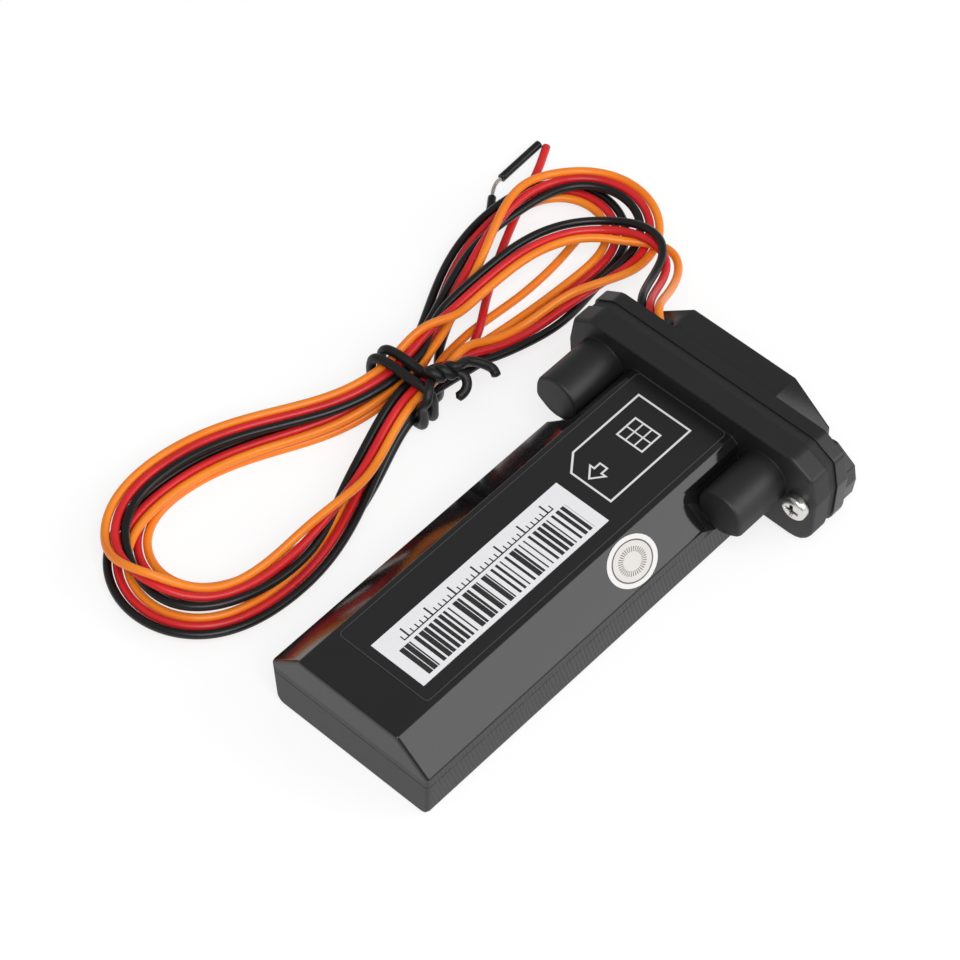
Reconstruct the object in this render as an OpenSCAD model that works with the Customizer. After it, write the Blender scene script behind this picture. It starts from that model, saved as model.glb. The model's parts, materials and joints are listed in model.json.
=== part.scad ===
// Waterproof vehicle tracker: a one-piece housing closed at one end, a gasketed end cap held by two
// screws, a circuit board and battery inside, and three hook-up wires tied in a hank beside it.
// Lengths run along X from the closed end, Y is across and Z is up from the underside.

/* [Housing] */
// Length of the housing from its closed end to its flange
housing_l = 73.5; // [70:0.5:90]
// Height of the housing
body_h = 15.1; // [14.8:0.1:16]
// Width of the flat top
top_w = 19.5; // [17:0.5:21]
// Width at the shoulders, where the sloping sides start
shoulder_w = 31.5; // [31:0.5:34]
// Height of the shoulders
shoulder_h = 9.7; // [9.2:0.1:10.5]
// Width of the underside
base_w = 30.6; // [30:0.2:32]
// Thickness of the side walls, floor and roof
wall = 1.5; // [1.2:0.1:1.8]
// Thickness of the closed end
end_wall = 1.8; // [1.2:0.1:3]
// Rounding of the long lower edges
keel_r = 1.6; // [0.8:0.1:2]
// Rounding of the shoulders and of the roof edges
edge_r = 0.7; // [0.3:0.1:1.2]
// Fillet round the closed end and the flange
fillet_r = 0.6; // [0.3:0.1:0.9]

/* [Flange] */
// Thickness of the housing flange
flange_t = 3.6; // [3:0.1:5]
// Reach of the flange on the side of the wires
left_reach = 23.4; // [23:0.1:26]
// Reach of the flange on the other side
right_reach = 26.1; // [25.8:0.1:28]
// Height of the flange
flange_h = 18; // [17.5:0.1:19]
// Height of the flange's lower edge above the underside
flange_lift = 1.05; // [0.8:0.05:1.5]
// Thickness of the gasket
gasket_t = 1.8; // [1.2:0.1:2.4]
// How far the gasket stands back from the flange's rim
gasket_inset = 0.35; // [0.2:0.05:0.6]

/* [Side bulges] */
// Distance of each bulge's axis from the middle
bulge_y = 16.4; // [16.2:0.1:16.8]
// Height of the bulges' axes
bulge_z = 11.9; // [11.6:0.1:12.2]
// Radius of a bulge
bulge_r = 4.2; // [4:0.1:4.4]
// Length of a bulge in front of the flange
bulge_l = 10.7; // [8:0.1:14]
// Radius of the blind bore for a locating peg
peg_bore_r = 2.4; // [2:0.1:2.6]
// Depth of that bore from the flange's mating face
peg_bore_l = 9; // [7:0.5:11]
// Radial clearance of a locating peg in its bore
peg_clear = 0.15; // [0.1:0.05:0.3]
// Length of a locating peg in its bore
peg_l = 6; // [4:0.5:6.5]
// Depth of the pocket round a bulge, straight down
pocket_depth = 2.6; // [2:0.1:2.8]
// Distance of the pocket's inner wall from the middle
pocket_y = 10.9; // [10.7:0.1:11.5]
// Length of the pocket in front of the flange
pocket_l = 13.6; // [12.5:0.1:16]
// Length of the pocket's sloping front wall
pocket_ramp = 3.2; // [2:0.1:4]

/* [End cap] */
// Thickness of the cap's plate
cap_plate_t = 2.3; // [1.8:0.1:3]
// Length of the box on the cap's plate
hat_l = 6.8; // [6:0.1:10]
// Height of the top of that box
hat_h = 16.3; // [15.8:0.1:16.8]
// Width of its flat top
hat_top_w = 20.4; // [18:0.5:22]
// Width at its shoulders
hat_w = 34.8; // [34:0.2:36]
// Height of its shoulders
hat_shoulder_h = 10.2; // [9.8:0.1:10.8]
// Wall of the cap's box
cap_wall = 1.5; // [1.2:0.1:2]
// How far the cap's lip reaches into the housing
lip_l = 3.5; // [2:0.5:4]
// Clearance of the lip in the housing's mouth
lip_clear = 0.2; // [0.15:0.05:0.3]
// Thickness of the lip
lip_t = 1; // [0.8:0.1:1.4]
// Length of the blocks behind the ears that the screws bite into
ear_block_l = 3.3; // [3:0.1:5]

/* [Screws] */
// Gap between the right screw's head and the bulge beside it
head_clear = 0.15; // [0.1:0.05:0.3]
// Height of the right screw
right_screw_z = 9.9; // [9.7:0.1:10.2]
// Distance of the left screw from the middle
left_screw_y = 20.2; // [20:0.05:20.4]
// Height of the left screw
left_screw_z = 4.8; // [4.6:0.1:4.9]
// Radius of the screws' shanks
shank_r = 1.25; // [1.1:0.05:1.3]
// Radius of the screws' heads
head_r = 2.25; // [2.1:0.05:2.4]
// Thickness of the screws' heads
head_t = 1.7; // [1.4:0.1:2]
// Length of a shank below its head
shank_l = 10; // [9.5:0.25:10.5]
// Radial clearance of a shank in the flanges
screw_clear = 0.2; // [0.15:0.05:0.3]
// Radial clearance of a shank in the cap's blind hole
thread_clear = 0.05; // [0.03:0.01:0.08]

/* [Labels] */
// Thickness of the printed film on the roof
film_t = 0.1; // [0.05:0.05:0.2]
// Width of that film
film_w = 17.8; // [16:0.1:18]
// Distance of the film from the closed end
film_start = 7.4; // [4:0.1:10]
// Rounding of the film's corners
film_r = 0.8; // [0.3:0.1:2]
// Thickness of the paper stickers
sticker_t = 0.1; // [0.05:0.05:0.2]
// Length of the bar sticker
bars_l = 40; // [30:1:44]
// Width of the bar sticker
bars_w = 10.5; // [8:0.5:11]
// Gap from the film's edge to the bar sticker
bars_start = 1.7; // [1:0.1:3]
// Sideways shift of the bar sticker to the right
bars_shift = 1.35; // [0:0.05:2]
// Length of the oval sticker on the right slope
seal_l = 9.6; // [8:0.1:11]
// Width of the oval sticker, up the slope
seal_w = 7.4; // [6:0.1:7.6]
// Distance of the oval sticker's middle from the closed end
seal_x = 47.4; // [42:0.1:50]

/* [Board] */
// Length of the circuit board
board_l = 62; // [58:0.5:64]
// Gap between the housing's walls and each long edge of the board
board_side = 0.7; // [0.5:0.1:1.2]
// Thickness of the circuit board
board_t = 1; // [0.8:0.1:1.2]
// Height of the board's underside
board_z = 5.9; // [5.7:0.1:6]
// Gap from the closed end's inner face to the board
board_gap = 1.6; // [1:0.1:3]
// Width of the ledges that the board rests on
ledge_w = 0.9; // [0.7:0.1:1.2]
// Thickness of those ledges
ledge_t = 0.8; // [0.6:0.1:1]
// Side of the square patch antenna
patch_w = 18; // [15:0.5:18]
// Thickness of the patch antenna
patch_t = 4; // [3:0.1:4.5]
// Gap between one thing on the board and the next
part_gap = 1.2; // [0.8:0.1:1.4]
// Length of the modem's can
modem_l = 17.6; // [15:0.1:18]
// Width of the modem's can
modem_w = 15.7; // [14:0.1:17]
// Height of the modem's can
modem_h = 2.3; // [2:0.1:3]
// Length of the card socket
sim_l = 15; // [13:0.1:16]
// Width of the card socket
sim_w = 12.6; // [12:0.1:13]
// Height of the card socket
sim_h = 1.6; // [1.4:0.1:2]
// Height of the card slot
sim_slot_h = 0.9; // [0.8:0.05:1]
// Length of the battery
battery_l = 40; // [30:0.5:42]
// Width of the battery
battery_w = 20; // [16:0.5:22]
// Thickness of the battery
battery_t = 3.4; // [3:0.1:3.5]
// Thickness of the foam tape under the battery
tape_t = 0.3; // [0.2:0.1:0.5]

/* [Connector] */
// Width of the wire header
header_w = 7.2; // [7:0.1:7.4]
// Depth of the wire header
header_l = 4.6; // [4:0.1:5]
// Height of the wire header
header_h = 3.4; // [3.2:0.1:3.6]
// Wall of the wire header
header_wall = 0.5; // [0.4:0.05:0.6]
// Distance of the header's middle from the middle of the board
header_y = 5.6; // [5.4:0.1:5.6]
// Clearance of the plug in the header
plug_clear = 0.12; // [0.08:0.01:0.2]
// Length of the plug
plug_l = 6.2; // [5.5:0.1:6.5]
// Distance between the plug's wires
pin_pitch = 2; // [1.9:0.05:2]

/* [Switch] */
// Length of the power switch across the board
switch_w = 6.6; // [6:0.1:7]
// Depth of the power switch
switch_l = 3.2; // [2.8:0.1:3.5]
// Height of the power switch
switch_h = 1.6; // [1.4:0.1:1.8]
// Travel of the switch slider
switch_travel = 2; // [1.5:0.1:2.2]

/* [Wires] */
// Diameter of a wire over its insulation
wire_d = 1.4; // [1.2:0.05:1.4]
// Diameter of a wire's bare conductor
strand_d = 0.7; // [0.5:0.05:0.8]
// Diameter of the twist tie
tie_d = 1.7; // [1.4:0.1:2]

/* [Hidden] */
$fn = 48;
// Overrun of a cut beyond the solid that it cuts
cut = 0.5;
// Thickness of a slice inside a hull
slice = 0.01;
// Steps of a rounded corner
corner_steps = 5;
// Bulk of the rounding where the bulge turns down to its outer side
heel_r = 1.6;
// Drop of that rounding's middle below the bulge's axis
heel_drop = 1.4;
// Share of a fillet that its middle slice takes away
fillet_shares = [[0, 1], [0.3, 0.3], [1, 0]];
// Outline of an ear, as shares of its reach and of the flange's height, from the foot to the top
ear_shares = [[0.98, 0], [1, 0.58], [0.965, 0.87], [0.81, 1]];
// Rounding at each of those points
ear_radii = [4.2, 3, 1.2, 2.5];
// Outline of the block behind an ear, as shares of the same two sizes
block_shares = [[0.77, 0.04], [0.9, 0.02], [0.955, 0.165], [0.972, 0.36], [0.955, 0.53], [0.82, 0.675],
    [0.77, 0.675]];
// Rounding of the blocks and of the pocket's inner corner
block_r = 0.7;
pocket_r = 1.6;
// Skin left between a screw's blind hole and the back of its block
block_skin = 0.5;
// Recess of a screw head: half the width of its cross, its reach and its depth
cross_w = 0.45;
cross_reach = 1.3;
cross_depth = 0.9;
// Height of the rounded crown of a screw head, and the radius of its flat
crown_t = 0.7;
crown_r = 1.2;
// Gap from the film to the flange
film_gap = 0.2;

flange_x = housing_l;
mate_x = flange_x + flange_t;
cap_x = mate_x + gasket_t;
hat_x = cap_x + cap_plate_t;
overall_l = hat_x + hat_l;
inner_x = end_wall;
pocket_x = housing_l - pocket_l;
narrow_x = pocket_x - wall;
right_screw_y = bulge_y + bulge_r + head_clear + head_r;
board_w = min(base_w, shoulder_w) - 2 * wall - 2 * board_side;
// The origin is under the middle of the tracker, which reaches further on its right side
shift_y = (right_reach - left_reach) / 2;

function unit(v) = v / norm(v);
function bearing(v) = atan2(v[1], v[0]);
// Points of one rounded corner at q, between its neighbours p and s
function corner(p, q, s, r) = let(
    u = unit(p - q),
    w = unit(s - q),
    half = acos(u * w) / 2,
    c = q + unit(u + w) * r / sin(half),
    reach = r / tan(half),
    a = bearing(q + u * reach - c),
    turn = (bearing(q + w * reach - c) - a + 540) % 360 - 180
) [for (i = [0 : corner_steps]) c + r * [cos(a + turn * i / corner_steps), sin(a + turn * i / corner_steps)]];
// A closed outline with each corner rounded by its own radius
function rounded(points, radii) = let(n = len(points)) [
    for (i = [0 : n - 1])
        for (p = radii[i] > 0 ? corner(points[(i + n - 1) % n], points[i], points[(i + 1) % n], radii[i])
            : [points[i]]) p
];
function reversed(list) = [for (i = [len(list) - 1 : -1 : 0]) list[i]];
function mirrored(points) = [for (p = reversed(points)) [-p[0], p[1]]];
function both_sides(half) = concat(half, mirrored(half));

// Height of the sloping side at a distance from the middle
function slope_z(y) = shoulder_h + (body_h - shoulder_h) * (shoulder_w / 2 - y) / (shoulder_w / 2 - top_w / 2);
slope_a = atan2(body_h - shoulder_h, (shoulder_w - top_w) / 2);
hat_slope_a = atan2(hat_h - hat_shoulder_h, (hat_w - hat_top_w) / 2);
// Height at which the pocket's floor comes out of the side wall
pocket_exit_z = slope_z(shoulder_w / 2) - pocket_depth;

module placed() translate([-overall_l / 2, shift_y, 0]) children();
// Places what is given by its X from the tracker's middle
module beside() translate([0, shift_y, 0]) children();
// Draws a profile of Y and Z and extends it along X
module along_x(x, l) translate([x, 0, 0]) rotate([90, 0, 90]) linear_extrude(l) children();
module rod_x(x, l, r, y, z, sides = 48) translate([x, y, z]) rotate([0, 90, 0]) cylinder(h = l, r = r, $fn = sides);
module sides() for (s = [-1, 1]) scale([1, s, 1]) children();

module body_profile() polygon(both_sides(rounded_half()));
function body_half() = [[base_w / 2, 0], [shoulder_w / 2, shoulder_h], [top_w / 2, body_h]];
function rounded_half() = let(
    half = body_half(),
    loop = rounded(concat(half, mirrored(half)), [keel_r, edge_r, edge_r, edge_r, edge_r, keel_r])
) [for (p = loop) if (p[0] > 0) p];
// Section of the housing beside the bulges, with both pockets taken out of it
module pocket_profile() polygon(both_sides([
    [base_w / 2, 0], [shoulder_w / 2, pocket_exit_z], [pocket_y, slope_z(pocket_y) - pocket_depth],
    [pocket_y, slope_z(pocket_y)], [top_w / 2, body_h]
]));
module bore_profile(extra = 0) intersection() {
    offset(delta = -wall - extra) body_profile();
    offset(delta = -wall - extra) pocket_profile();
}
module flange_profile(inset = 0) offset(delta = -inset) polygon(concat(
    [for (p = ear_loop(left_reach)) if (p[0] > 0) p],
    [for (p = mirrored(ear_loop(right_reach))) if (p[0] < 0) p]
));
function ear_loop(reach) = let(
    side = [for (p = ear_shares) [p[0] * reach, flange_lift + p[1] * flange_h]]
) rounded(concat(side, mirrored(side)), concat(ear_radii, reversed(ear_radii)));

// Slices that round the front edge of a profile drawn along X
module front_fillet(x, l, r) hull() {
    for (f = fillet_shares) along_x(x + f[0] * r, slice) offset(delta = -f[1] * r) children();
    along_x(x + l - slice, slice) children();
}
module screw_holes(x, l, r) {
    rod_x(x, l, r, -right_screw_y, right_screw_z);
    rod_x(x, l, r, left_screw_y, left_screw_z);
}
module pocket() hull() {
    pocket_slice(pocket_x, 0, cut);
    pocket_slice(pocket_x + pocket_ramp, -pocket_depth, 0);
}
// One level of the pocket, in the plane of the sloping side
module pocket_slice(x, drop, rise) translate([x, pocket_y, slope_z(pocket_y) + drop])
    rotate([-slope_a, 0, 0]) linear_extrude(slice + rise)
    polygon(rounded([[0, 0], [flange_x - x, 0], [flange_x - x, shoulder_w / 2], [0, shoulder_w / 2]],
        [pocket_r, 0, 0, 0]));
module bulge() hull() {
    for (f = fillet_shares) bulge_slice(flange_x - bulge_l + f[0] * fillet_r, f[1] * fillet_r, slice);
    bulge_slice(flange_x - slice, 0, slice + cut);
}
module bulge_slice(x, inset, l) {
    rod_x(x, l, bulge_r - inset, bulge_y, bulge_z, 32);
    rod_x(x, l, heel_r - inset, bulge_y + bulge_r - heel_r, bulge_z - heel_drop, 32);
}
module ledge() along_x(inner_x, board_gap + board_l)
    polygon([[board_w / 2 - ledge_w, board_z - ledge_t], [board_w / 2 + wall, board_z - ledge_t],
        [board_w / 2 + wall, board_z], [board_w / 2 - ledge_w, board_z]]);

module housing() color([0.11, 0.11, 0.12]) placed() difference() {
    union() {
        difference() {
            front_fillet(0, housing_l + cut, fillet_r) body_profile();
            sides() pocket();
        }
        sides() bulge();
        front_fillet(flange_x, flange_t, fillet_r) flange_profile();
    }
    difference() {
        union() {
            along_x(inner_x, narrow_x - inner_x) offset(delta = -wall) body_profile();
            along_x(narrow_x - slice, mate_x - narrow_x + cut) bore_profile();
        }
        sides() ledge();
    }
    sides() rod_x(mate_x - peg_bore_l, peg_bore_l + cut, peg_bore_r, bulge_y, bulge_z);
    screw_holes(flange_x - cut, flange_t + 2 * cut, shank_r + screw_clear);
}

module gasket() color([0.05, 0.05, 0.05]) placed() difference() {
    along_x(mate_x, gasket_t) flange_profile(gasket_inset);
    along_x(mate_x - cut, gasket_t + 2 * cut) bore_profile();
    sides() rod_x(mate_x - cut, gasket_t + 2 * cut, peg_bore_r, bulge_y, bulge_z);
    screw_holes(mate_x - cut, gasket_t + 2 * cut, shank_r + screw_clear);
}

// Section of the box on the cap, and the same with its walls taken off
module hat_profile() polygon(both_sides([
    [hat_w / 2, flange_lift], [hat_w / 2, hat_shoulder_h], [hat_top_w / 2, hat_h]
]));
module ear_block(reach) polygon(rounded(
    [for (p = block_shares) [p[0] * reach, flange_lift + p[1] * flange_h]],
    [for (p = block_shares) block_r]
));
grommet_l = 2.8;
grommet_w = 6.4;
grommet_rise = 0.8;
grommet_pitch = 2;
grommet_x = hat_x + grommet_l / 2 + fillet_r / 2;
// Puts its children on the middle of the cap's left slope, with Z square to it
module on_slope() translate([grommet_x, (hat_w + hat_top_w) / 4, (hat_h + hat_shoulder_h) / 2])
    rotate([-hat_slope_a, 0, 0]) children();

module end_cap() color([0.11, 0.11, 0.12]) placed() difference() {
    union() {
        along_x(cap_x, cap_plate_t) flange_profile();
        mirror([1, 0, 0]) translate([-overall_l, 0, 0])
            front_fillet(0, hat_l + cut, fillet_r) hat_profile();
        along_x(hat_x - cut, ear_block_l + cut) ear_block(left_reach);
        mirror([0, 1, 0]) along_x(hat_x - cut, ear_block_l + cut) ear_block(right_reach);
        along_x(mate_x - lip_l, lip_l + gasket_t + cut) bore_profile(lip_clear);
        sides() rod_x(mate_x - peg_l, peg_l + gasket_t + cut, peg_bore_r - peg_clear, bulge_y, bulge_z);
    }
    along_x(mate_x - lip_l - cut, lip_l + gasket_t + cap_plate_t + 2 * cut) bore_profile(lip_clear + lip_t);
    along_x(hat_x, hat_l - cap_wall) offset(delta = -cap_wall) hat_profile();
    screw_holes(cap_x - cut, cut + cap_plate_t + ear_block_l - block_skin, shank_r + thread_clear);
    on_slope() translate([-grommet_l / 2, -grommet_w / 2, -2 * cap_wall])
        cube([grommet_l, grommet_w, 2 * cap_wall + cut]);
}

module wire_grommet() color([0.07, 0.07, 0.07]) placed() on_slope()
    translate([0, 0, -cap_wall]) linear_extrude(cap_wall + grommet_rise)
    polygon([[-grommet_l / 2, -grommet_w / 2], [grommet_l / 2, -grommet_w / 2],
        [grommet_l / 2, grommet_w / 2], [-grommet_l / 2, grommet_w / 2]]);

// A pan-head screw along X, with its head's seat at the origin
module screw() difference() {
    union() {
        rotate([0, 90, 0]) cylinder(h = shank_l, r = shank_r);
        rotate([0, -90, 0]) rotate_extrude() polygon(concat([[0, 0], [head_r, 0]],
            [for (i = [0 : corner_steps]) let(a = 90 * i / corner_steps)
                [crown_r + (head_r - crown_r) * cos(a), head_t - crown_t + crown_t * sin(a)]],
            [[0, head_t]]));
    }
    for (a = [0, 90]) rotate([a, 0, 0]) translate([-head_t - cut, -cross_w / 2, -cross_reach])
        cube([cross_depth + cut, cross_w, 2 * cross_reach]);
}
module left_screw() color([0.75, 0.75, 0.75]) placed() translate([flange_x, left_screw_y, left_screw_z]) screw();
module right_screw() color([0.75, 0.75, 0.75]) placed() translate([flange_x, -right_screw_y, right_screw_z]) screw();

film_l = flange_x - film_start - film_gap;
module film_label() color([0.08, 0.08, 0.09]) placed() translate([film_start, -film_w / 2, body_h])
    linear_extrude(film_t) polygon(rounded(
        [[0, 0], [film_l, 0], [film_l, film_w], [0, film_w]],
        [film_r, film_r, film_r, film_r]));
module bar_sticker() color([0.93, 0.93, 0.93]) placed()
    translate([film_start + bars_start, -bars_w / 2 - bars_shift, body_h + film_t])
    cube([bars_l, bars_w, sticker_t]);
module oval_sticker() color([0.95, 0.95, 0.92]) placed()
    translate([seal_x, -(shoulder_w + top_w) / 4, (body_h + shoulder_h) / 2])
    rotate([slope_a, 0, 0]) linear_extrude(sticker_t) scale([seal_l / seal_w, 1]) circle(d = seal_w);

board_x = inner_x + board_gap;
board_top = board_z + board_t;
board_end = board_x + board_l;
module on_board(x, y) placed() translate([board_x + x, y, board_top]) children();
module can(l, w, h) translate([0, -w / 2, 0]) cube([l, w, h]);
coil_w = 5;
coil_h = 2.5;
drum_r = 2.5;
drum_h = 5.4;
patch_x = 2 * drum_r + part_gap + slice;
modem_x = patch_x + patch_w + part_gap;
sim_x = board_l - sim_l;
sim_y = part_gap / 2 + sim_w / 2 + header_w / 2 - header_y;

module circuit_board() color([0.05, 0.25, 0.15]) placed()
    translate([board_x, -board_w / 2, board_z]) cube([board_l, board_w, board_t]);
module patch_antenna() color([0.8, 0.75, 0.65]) on_board(patch_x, 0) can(patch_w, patch_w, patch_t);
electrode_margin = 1.6;
electrode_t = 0.1;
pin_r = 0.6;
module patch_electrode() color([0.85, 0.85, 0.87]) on_board(patch_x, 0) {
    translate([electrode_margin, 0, patch_t])
        can(patch_w - 2 * electrode_margin, patch_w - 2 * electrode_margin, electrode_t);
    translate([patch_w / 2 + pin_r, 0, patch_t + electrode_t]) cylinder(h = electrode_t, r = pin_r);
}
module modem_can() color([0.8, 0.8, 0.8]) on_board(modem_x, 0) can(modem_l, modem_w, modem_h);
receiver_l = 9;
receiver_w = 11;
module receiver_can() color([0.78, 0.78, 0.76]) placed()
    translate([battery_x + battery_l + part_gap, 0, board_z - modem_h]) can(receiver_l, receiver_w, modem_h);
sim_wall = 0.35;
module card_socket() color([0.75, 0.75, 0.72]) on_board(sim_x, -sim_y) difference() {
    can(sim_l, sim_w, sim_h);
    translate([sim_wall, 0, sim_wall]) can(sim_l, sim_w - 2 * sim_wall, sim_slot_h);
}

switch_wall = 0.5;
nub_w = 1.3;
nub_clear = 0.1;
module on_switch() placed() translate([board_end - switch_l, -board_w / 2 + part_gap, board_z - switch_h]) children();
module power_switch() color([0.7, 0.7, 0.7]) on_switch() difference() {
    cube([switch_l, switch_w, switch_h]);
    translate([switch_l / 2, (switch_w - nub_w - switch_travel) / 2 - nub_clear, switch_wall - nub_clear])
        cube([switch_l, nub_w + switch_travel + 2 * nub_clear, switch_h - 2 * switch_wall + 2 * nub_clear]);
}
module switch_slider() color([0.9, 0.9, 0.9]) on_switch()
    translate([switch_l / 2 + nub_clear, (switch_w - nub_w - switch_travel) / 2, switch_wall])
    cube([switch_l / 2 + nub_w, nub_w, switch_h - 2 * switch_wall]);

led_l = 1.6;
led_w = 0.8;
led_h = 0.6;
led_pitch = 2.4;
module status_leds() color([0.9, 0.9, 0.8]) for (i = [-1 : 1])
    on_board(sim_x - part_gap - led_l, -sim_y + i * led_pitch) can(led_l, led_w, led_h);
module capacitor() color([0.75, 0.75, 0.78]) on_board(drum_r, -patch_w / 2 + drum_r) cylinder(h = drum_h, r = drum_r);
module coil_inductor() color([0.2, 0.2, 0.2]) on_board(0, patch_w / 2 - coil_w) cube([coil_w, coil_w, coil_h]);
film_antenna_t = 0.2;
film_antenna_w = 14;
module film_antenna() color([0.75, 0.45, 0.1]) placed()
    translate([board_x + modem_x, -film_antenna_w / 2, body_h - wall - film_antenna_t])
    cube([modem_l + led_l, film_antenna_w, film_antenna_t]);

battery_x = board_x + part_gap;
module battery() color([0.75, 0.76, 0.78]) placed() translate([battery_x, -battery_w / 2, wall + tape_t])
    cube([battery_l, battery_w, battery_t]);
module battery_tape() color([0.15, 0.15, 0.15]) placed()
    translate([battery_x + part_gap, -battery_w / 2 + part_gap, wall])
    cube([battery_l - 2 * part_gap, battery_w - 2 * part_gap, tape_t]);

module on_header() placed() translate([board_end - header_l, header_y, board_top]) children();
contact_r = 0.3;
pin_l = 3;
plug_reach = header_l - header_wall - plug_clear;
module wire_header() color([0.93, 0.92, 0.85]) on_header() difference() {
    can(header_l, header_w, header_h);
    translate([header_wall, 0, header_wall])
        can(header_l, header_w - 2 * header_wall, header_h - 2 * header_wall);
}
module pins(r, l) for (i = [-1 : 1]) translate([header_wall, i * pin_pitch, header_h / 2])
    rotate([0, 90, 0]) cylinder(h = l, r = r);
module header_pins() color([0.8, 0.7, 0.4]) on_header() pins(contact_r, pin_l);
module wire_plug() color([0.93, 0.92, 0.85]) on_header() difference() {
    translate([header_wall + plug_clear, 0, header_wall + plug_clear])
        can(plug_l, header_w - 2 * header_wall - 2 * plug_clear, header_h - 2 * header_wall - 2 * plug_clear);
    pins(contact_r + plug_clear, pin_l + plug_clear);
}

// Rings of a tube along a path: each is square to the mean of its two runs, and carried on without a twist
function way(path, i) = unit(path[min(i + 1, len(path) - 1)] - path[max(i - 1, 0)]);
function carried(side, t) = unit(side - (side * t) * t);
function tube_frames(path) = [
    for (i = 0, side = unit(cross([0, 0, 1], way(path, 0))); i < len(path);
        side = carried(side, way(path, min(i + 1, len(path) - 1))), i = i + 1) side
];
function ring(p, t, side, r, n) = let(up = cross(t, side))
    [for (k = [0 : n - 1]) p + r * (cos(360 * k / n) * side + sin(360 * k / n) * up)];
module tube(path, d, n) let(frames = tube_frames(path)) polyhedron(
    points = [for (i = [0 : len(path) - 1]) for (p = ring(path[i], way(path, i), frames[i], d / 2, n)) p],
    faces = concat(
        [for (k = [1 : n - 2]) [0, k + 1, k]],
        [for (i = [0 : len(path) - 2]) for (k = [0 : n - 1]) for (f = let(a = i * n, b = (k + 1) % n)
            [[a + k, a + b, a + n + b], [a + k, a + n + b, a + n + k]]) f],
        [for (k = [1 : n - 2]) let(e = (len(path) - 1) * n) [e, e + k, e + k + 1]]
    ));
tube_sides = 8;

// A wire's place in the grommet: i counts down the slope and rise is the height over the slope
function slope_point(i, rise) = [
    grommet_x - overall_l / 2,
    (hat_w + hat_top_w) / 4 + i * grommet_pitch * cos(hat_slope_a) + rise * sin(hat_slope_a),
    (hat_h + hat_shoulder_h) / 2 - i * grommet_pitch * sin(hat_slope_a) + rise * cos(hat_slope_a)
];
function lead_start(i) = [
    [board_end - header_l + header_wall + plug_clear + plug_l - overall_l / 2,
        header_y + i * pin_pitch, board_top + header_h / 2],
    [board_end - header_l + header_wall + plug_clear + plug_l + wire_d - overall_l / 2,
        header_y + i * pin_pitch, board_top + header_h / 2]
];
function lead_end(i) = [slope_point(i, -cap_wall - wire_d), slope_point(i, -cap_wall)];
black_lead_route = [[30, 7.8, 8], [34, 8.6, 6.9], [36.5, 9.6, 6.2], [38.2, 11, 6.8]];
red_lead_route = [[30, 5.8, 8.4], [34, 6.4, 8], [36.5, 7.5, 7.8], [38.2, 9.2, 8.6]];
orange_lead_route = [[30, 3.8, 9], [34, 4.4, 9.4], [36.5, 5.8, 9.6], [38.2, 7.8, 10.4]];
module lead(i, route) beside() tube(concat(lead_start(i), route, lead_end(i)), wire_d, tube_sides);
module black_lead() color("black") lead(1, black_lead_route);
module red_lead() color("firebrick") lead(0, red_lead_route);
module orange_lead() color("darkorange") lead(-1, orange_lead_route);

// Free routes from the grommet to the hanks, by X from the tracker's middle and Y from its middle line
black_route = [[39.6, 17.7, 14.4], [41.2, 18.9, 14.1], [43.6, 20.3, 12.6], [46.2, 21.6, 11.2], [49, 22.8, 10],
    [51.6, 23.8, 9.4], [54, 24.7, 9.4], [55.6, 26.4, 9.3], [56.6, 29, 9], [56.8, 31.8, 8.3], [56.1, 35, 7.3],
    [54.2, 38.2, 6.7], [51.4, 41, 6.7], [48.4, 42.9, 6.7], [45, 44.2, 6.7], [41, 45, 6.7], [37, 45.2, 6.7]];
red_route = [[39.6, 16.1, 15.3], [41, 16.8, 14.7], [43, 18.3, 13], [45.8, 19.8, 11], [49, 21.3, 9.2],
    [51.8, 22.6, 8.1], [54, 24, 7.8], [55.3, 26, 7.8], [55.6, 28.4, 7.8], [55.4, 30.8, 7.8], [54.8, 33.6, 7.3],
    [52.9, 36.6, 6.7], [50.4, 39.4, 6.7], [47.6, 41.2, 6.7], [44.4, 42.5, 6.7], [40.8, 43.4, 6.7], [37, 43.7, 6.7]];
orange_route = [[39.7, 14.6, 16.4], [41.5, 15.2, 15.5], [43.6, 16.6, 13.4], [46.6, 18, 11], [49.6, 19.5, 9],
    [52.6, 21, 7.4], [55, 22.5, 6.6], [57, 24.6, 6.3], [57.6, 27, 6.2], [56.6, 29.2, 6.2], [54.9, 31, 6.2],
    [53.3, 32.9, 6.4], [51.7, 35.6, 6.7], [49.5, 38.2, 6.7], [47, 39.8, 6.7], [44, 41.1, 6.7], [40.6, 41.9, 6.7],
    [37, 42.2, 6.7]];
// Where the middle wire enters the hank, and the pitch of the three wires that lie side by side in it
hank_start = [33, 43.7, 6.7];
hank_pitch = 1.5;
function wire_start(i) = [slope_point(i, grommet_rise), slope_point(i, grommet_rise + wire_d)];
module lead_in(i, route) beside()
    tube(concat(wire_start(i), route, [hank_start + [0, i * hank_pitch, 0]]), wire_d, tube_sides);
module black_lead_in() color("black") lead_in(1, black_route);
module red_lead_in() color("firebrick") lead_in(0, red_route);
module orange_lead_in() color("darkorange") lead_in(-1, orange_route);

// The hank is a flat ribbon of the three wires that runs five loops through the tie, and each loop is a
// run out of the tie, a round end and a run back. Places are by X and Y from the tracker's middle.
tie_x = 9;
upper_y = 41.9;
lower_y = 37;
layer_step = 1.95;
// Rise of all layers over the tie's underside, and the length over which it fades
tie_lift = 2.1;
tie_fade = 9;
// Extra spacing of the wires where the ribbon stands on edge
edge_share = 0.2;
// Middle and reach of the half turn that the upper two passes make beside the tie
turn_x = 18;
turn_reach = 7.5;
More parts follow.
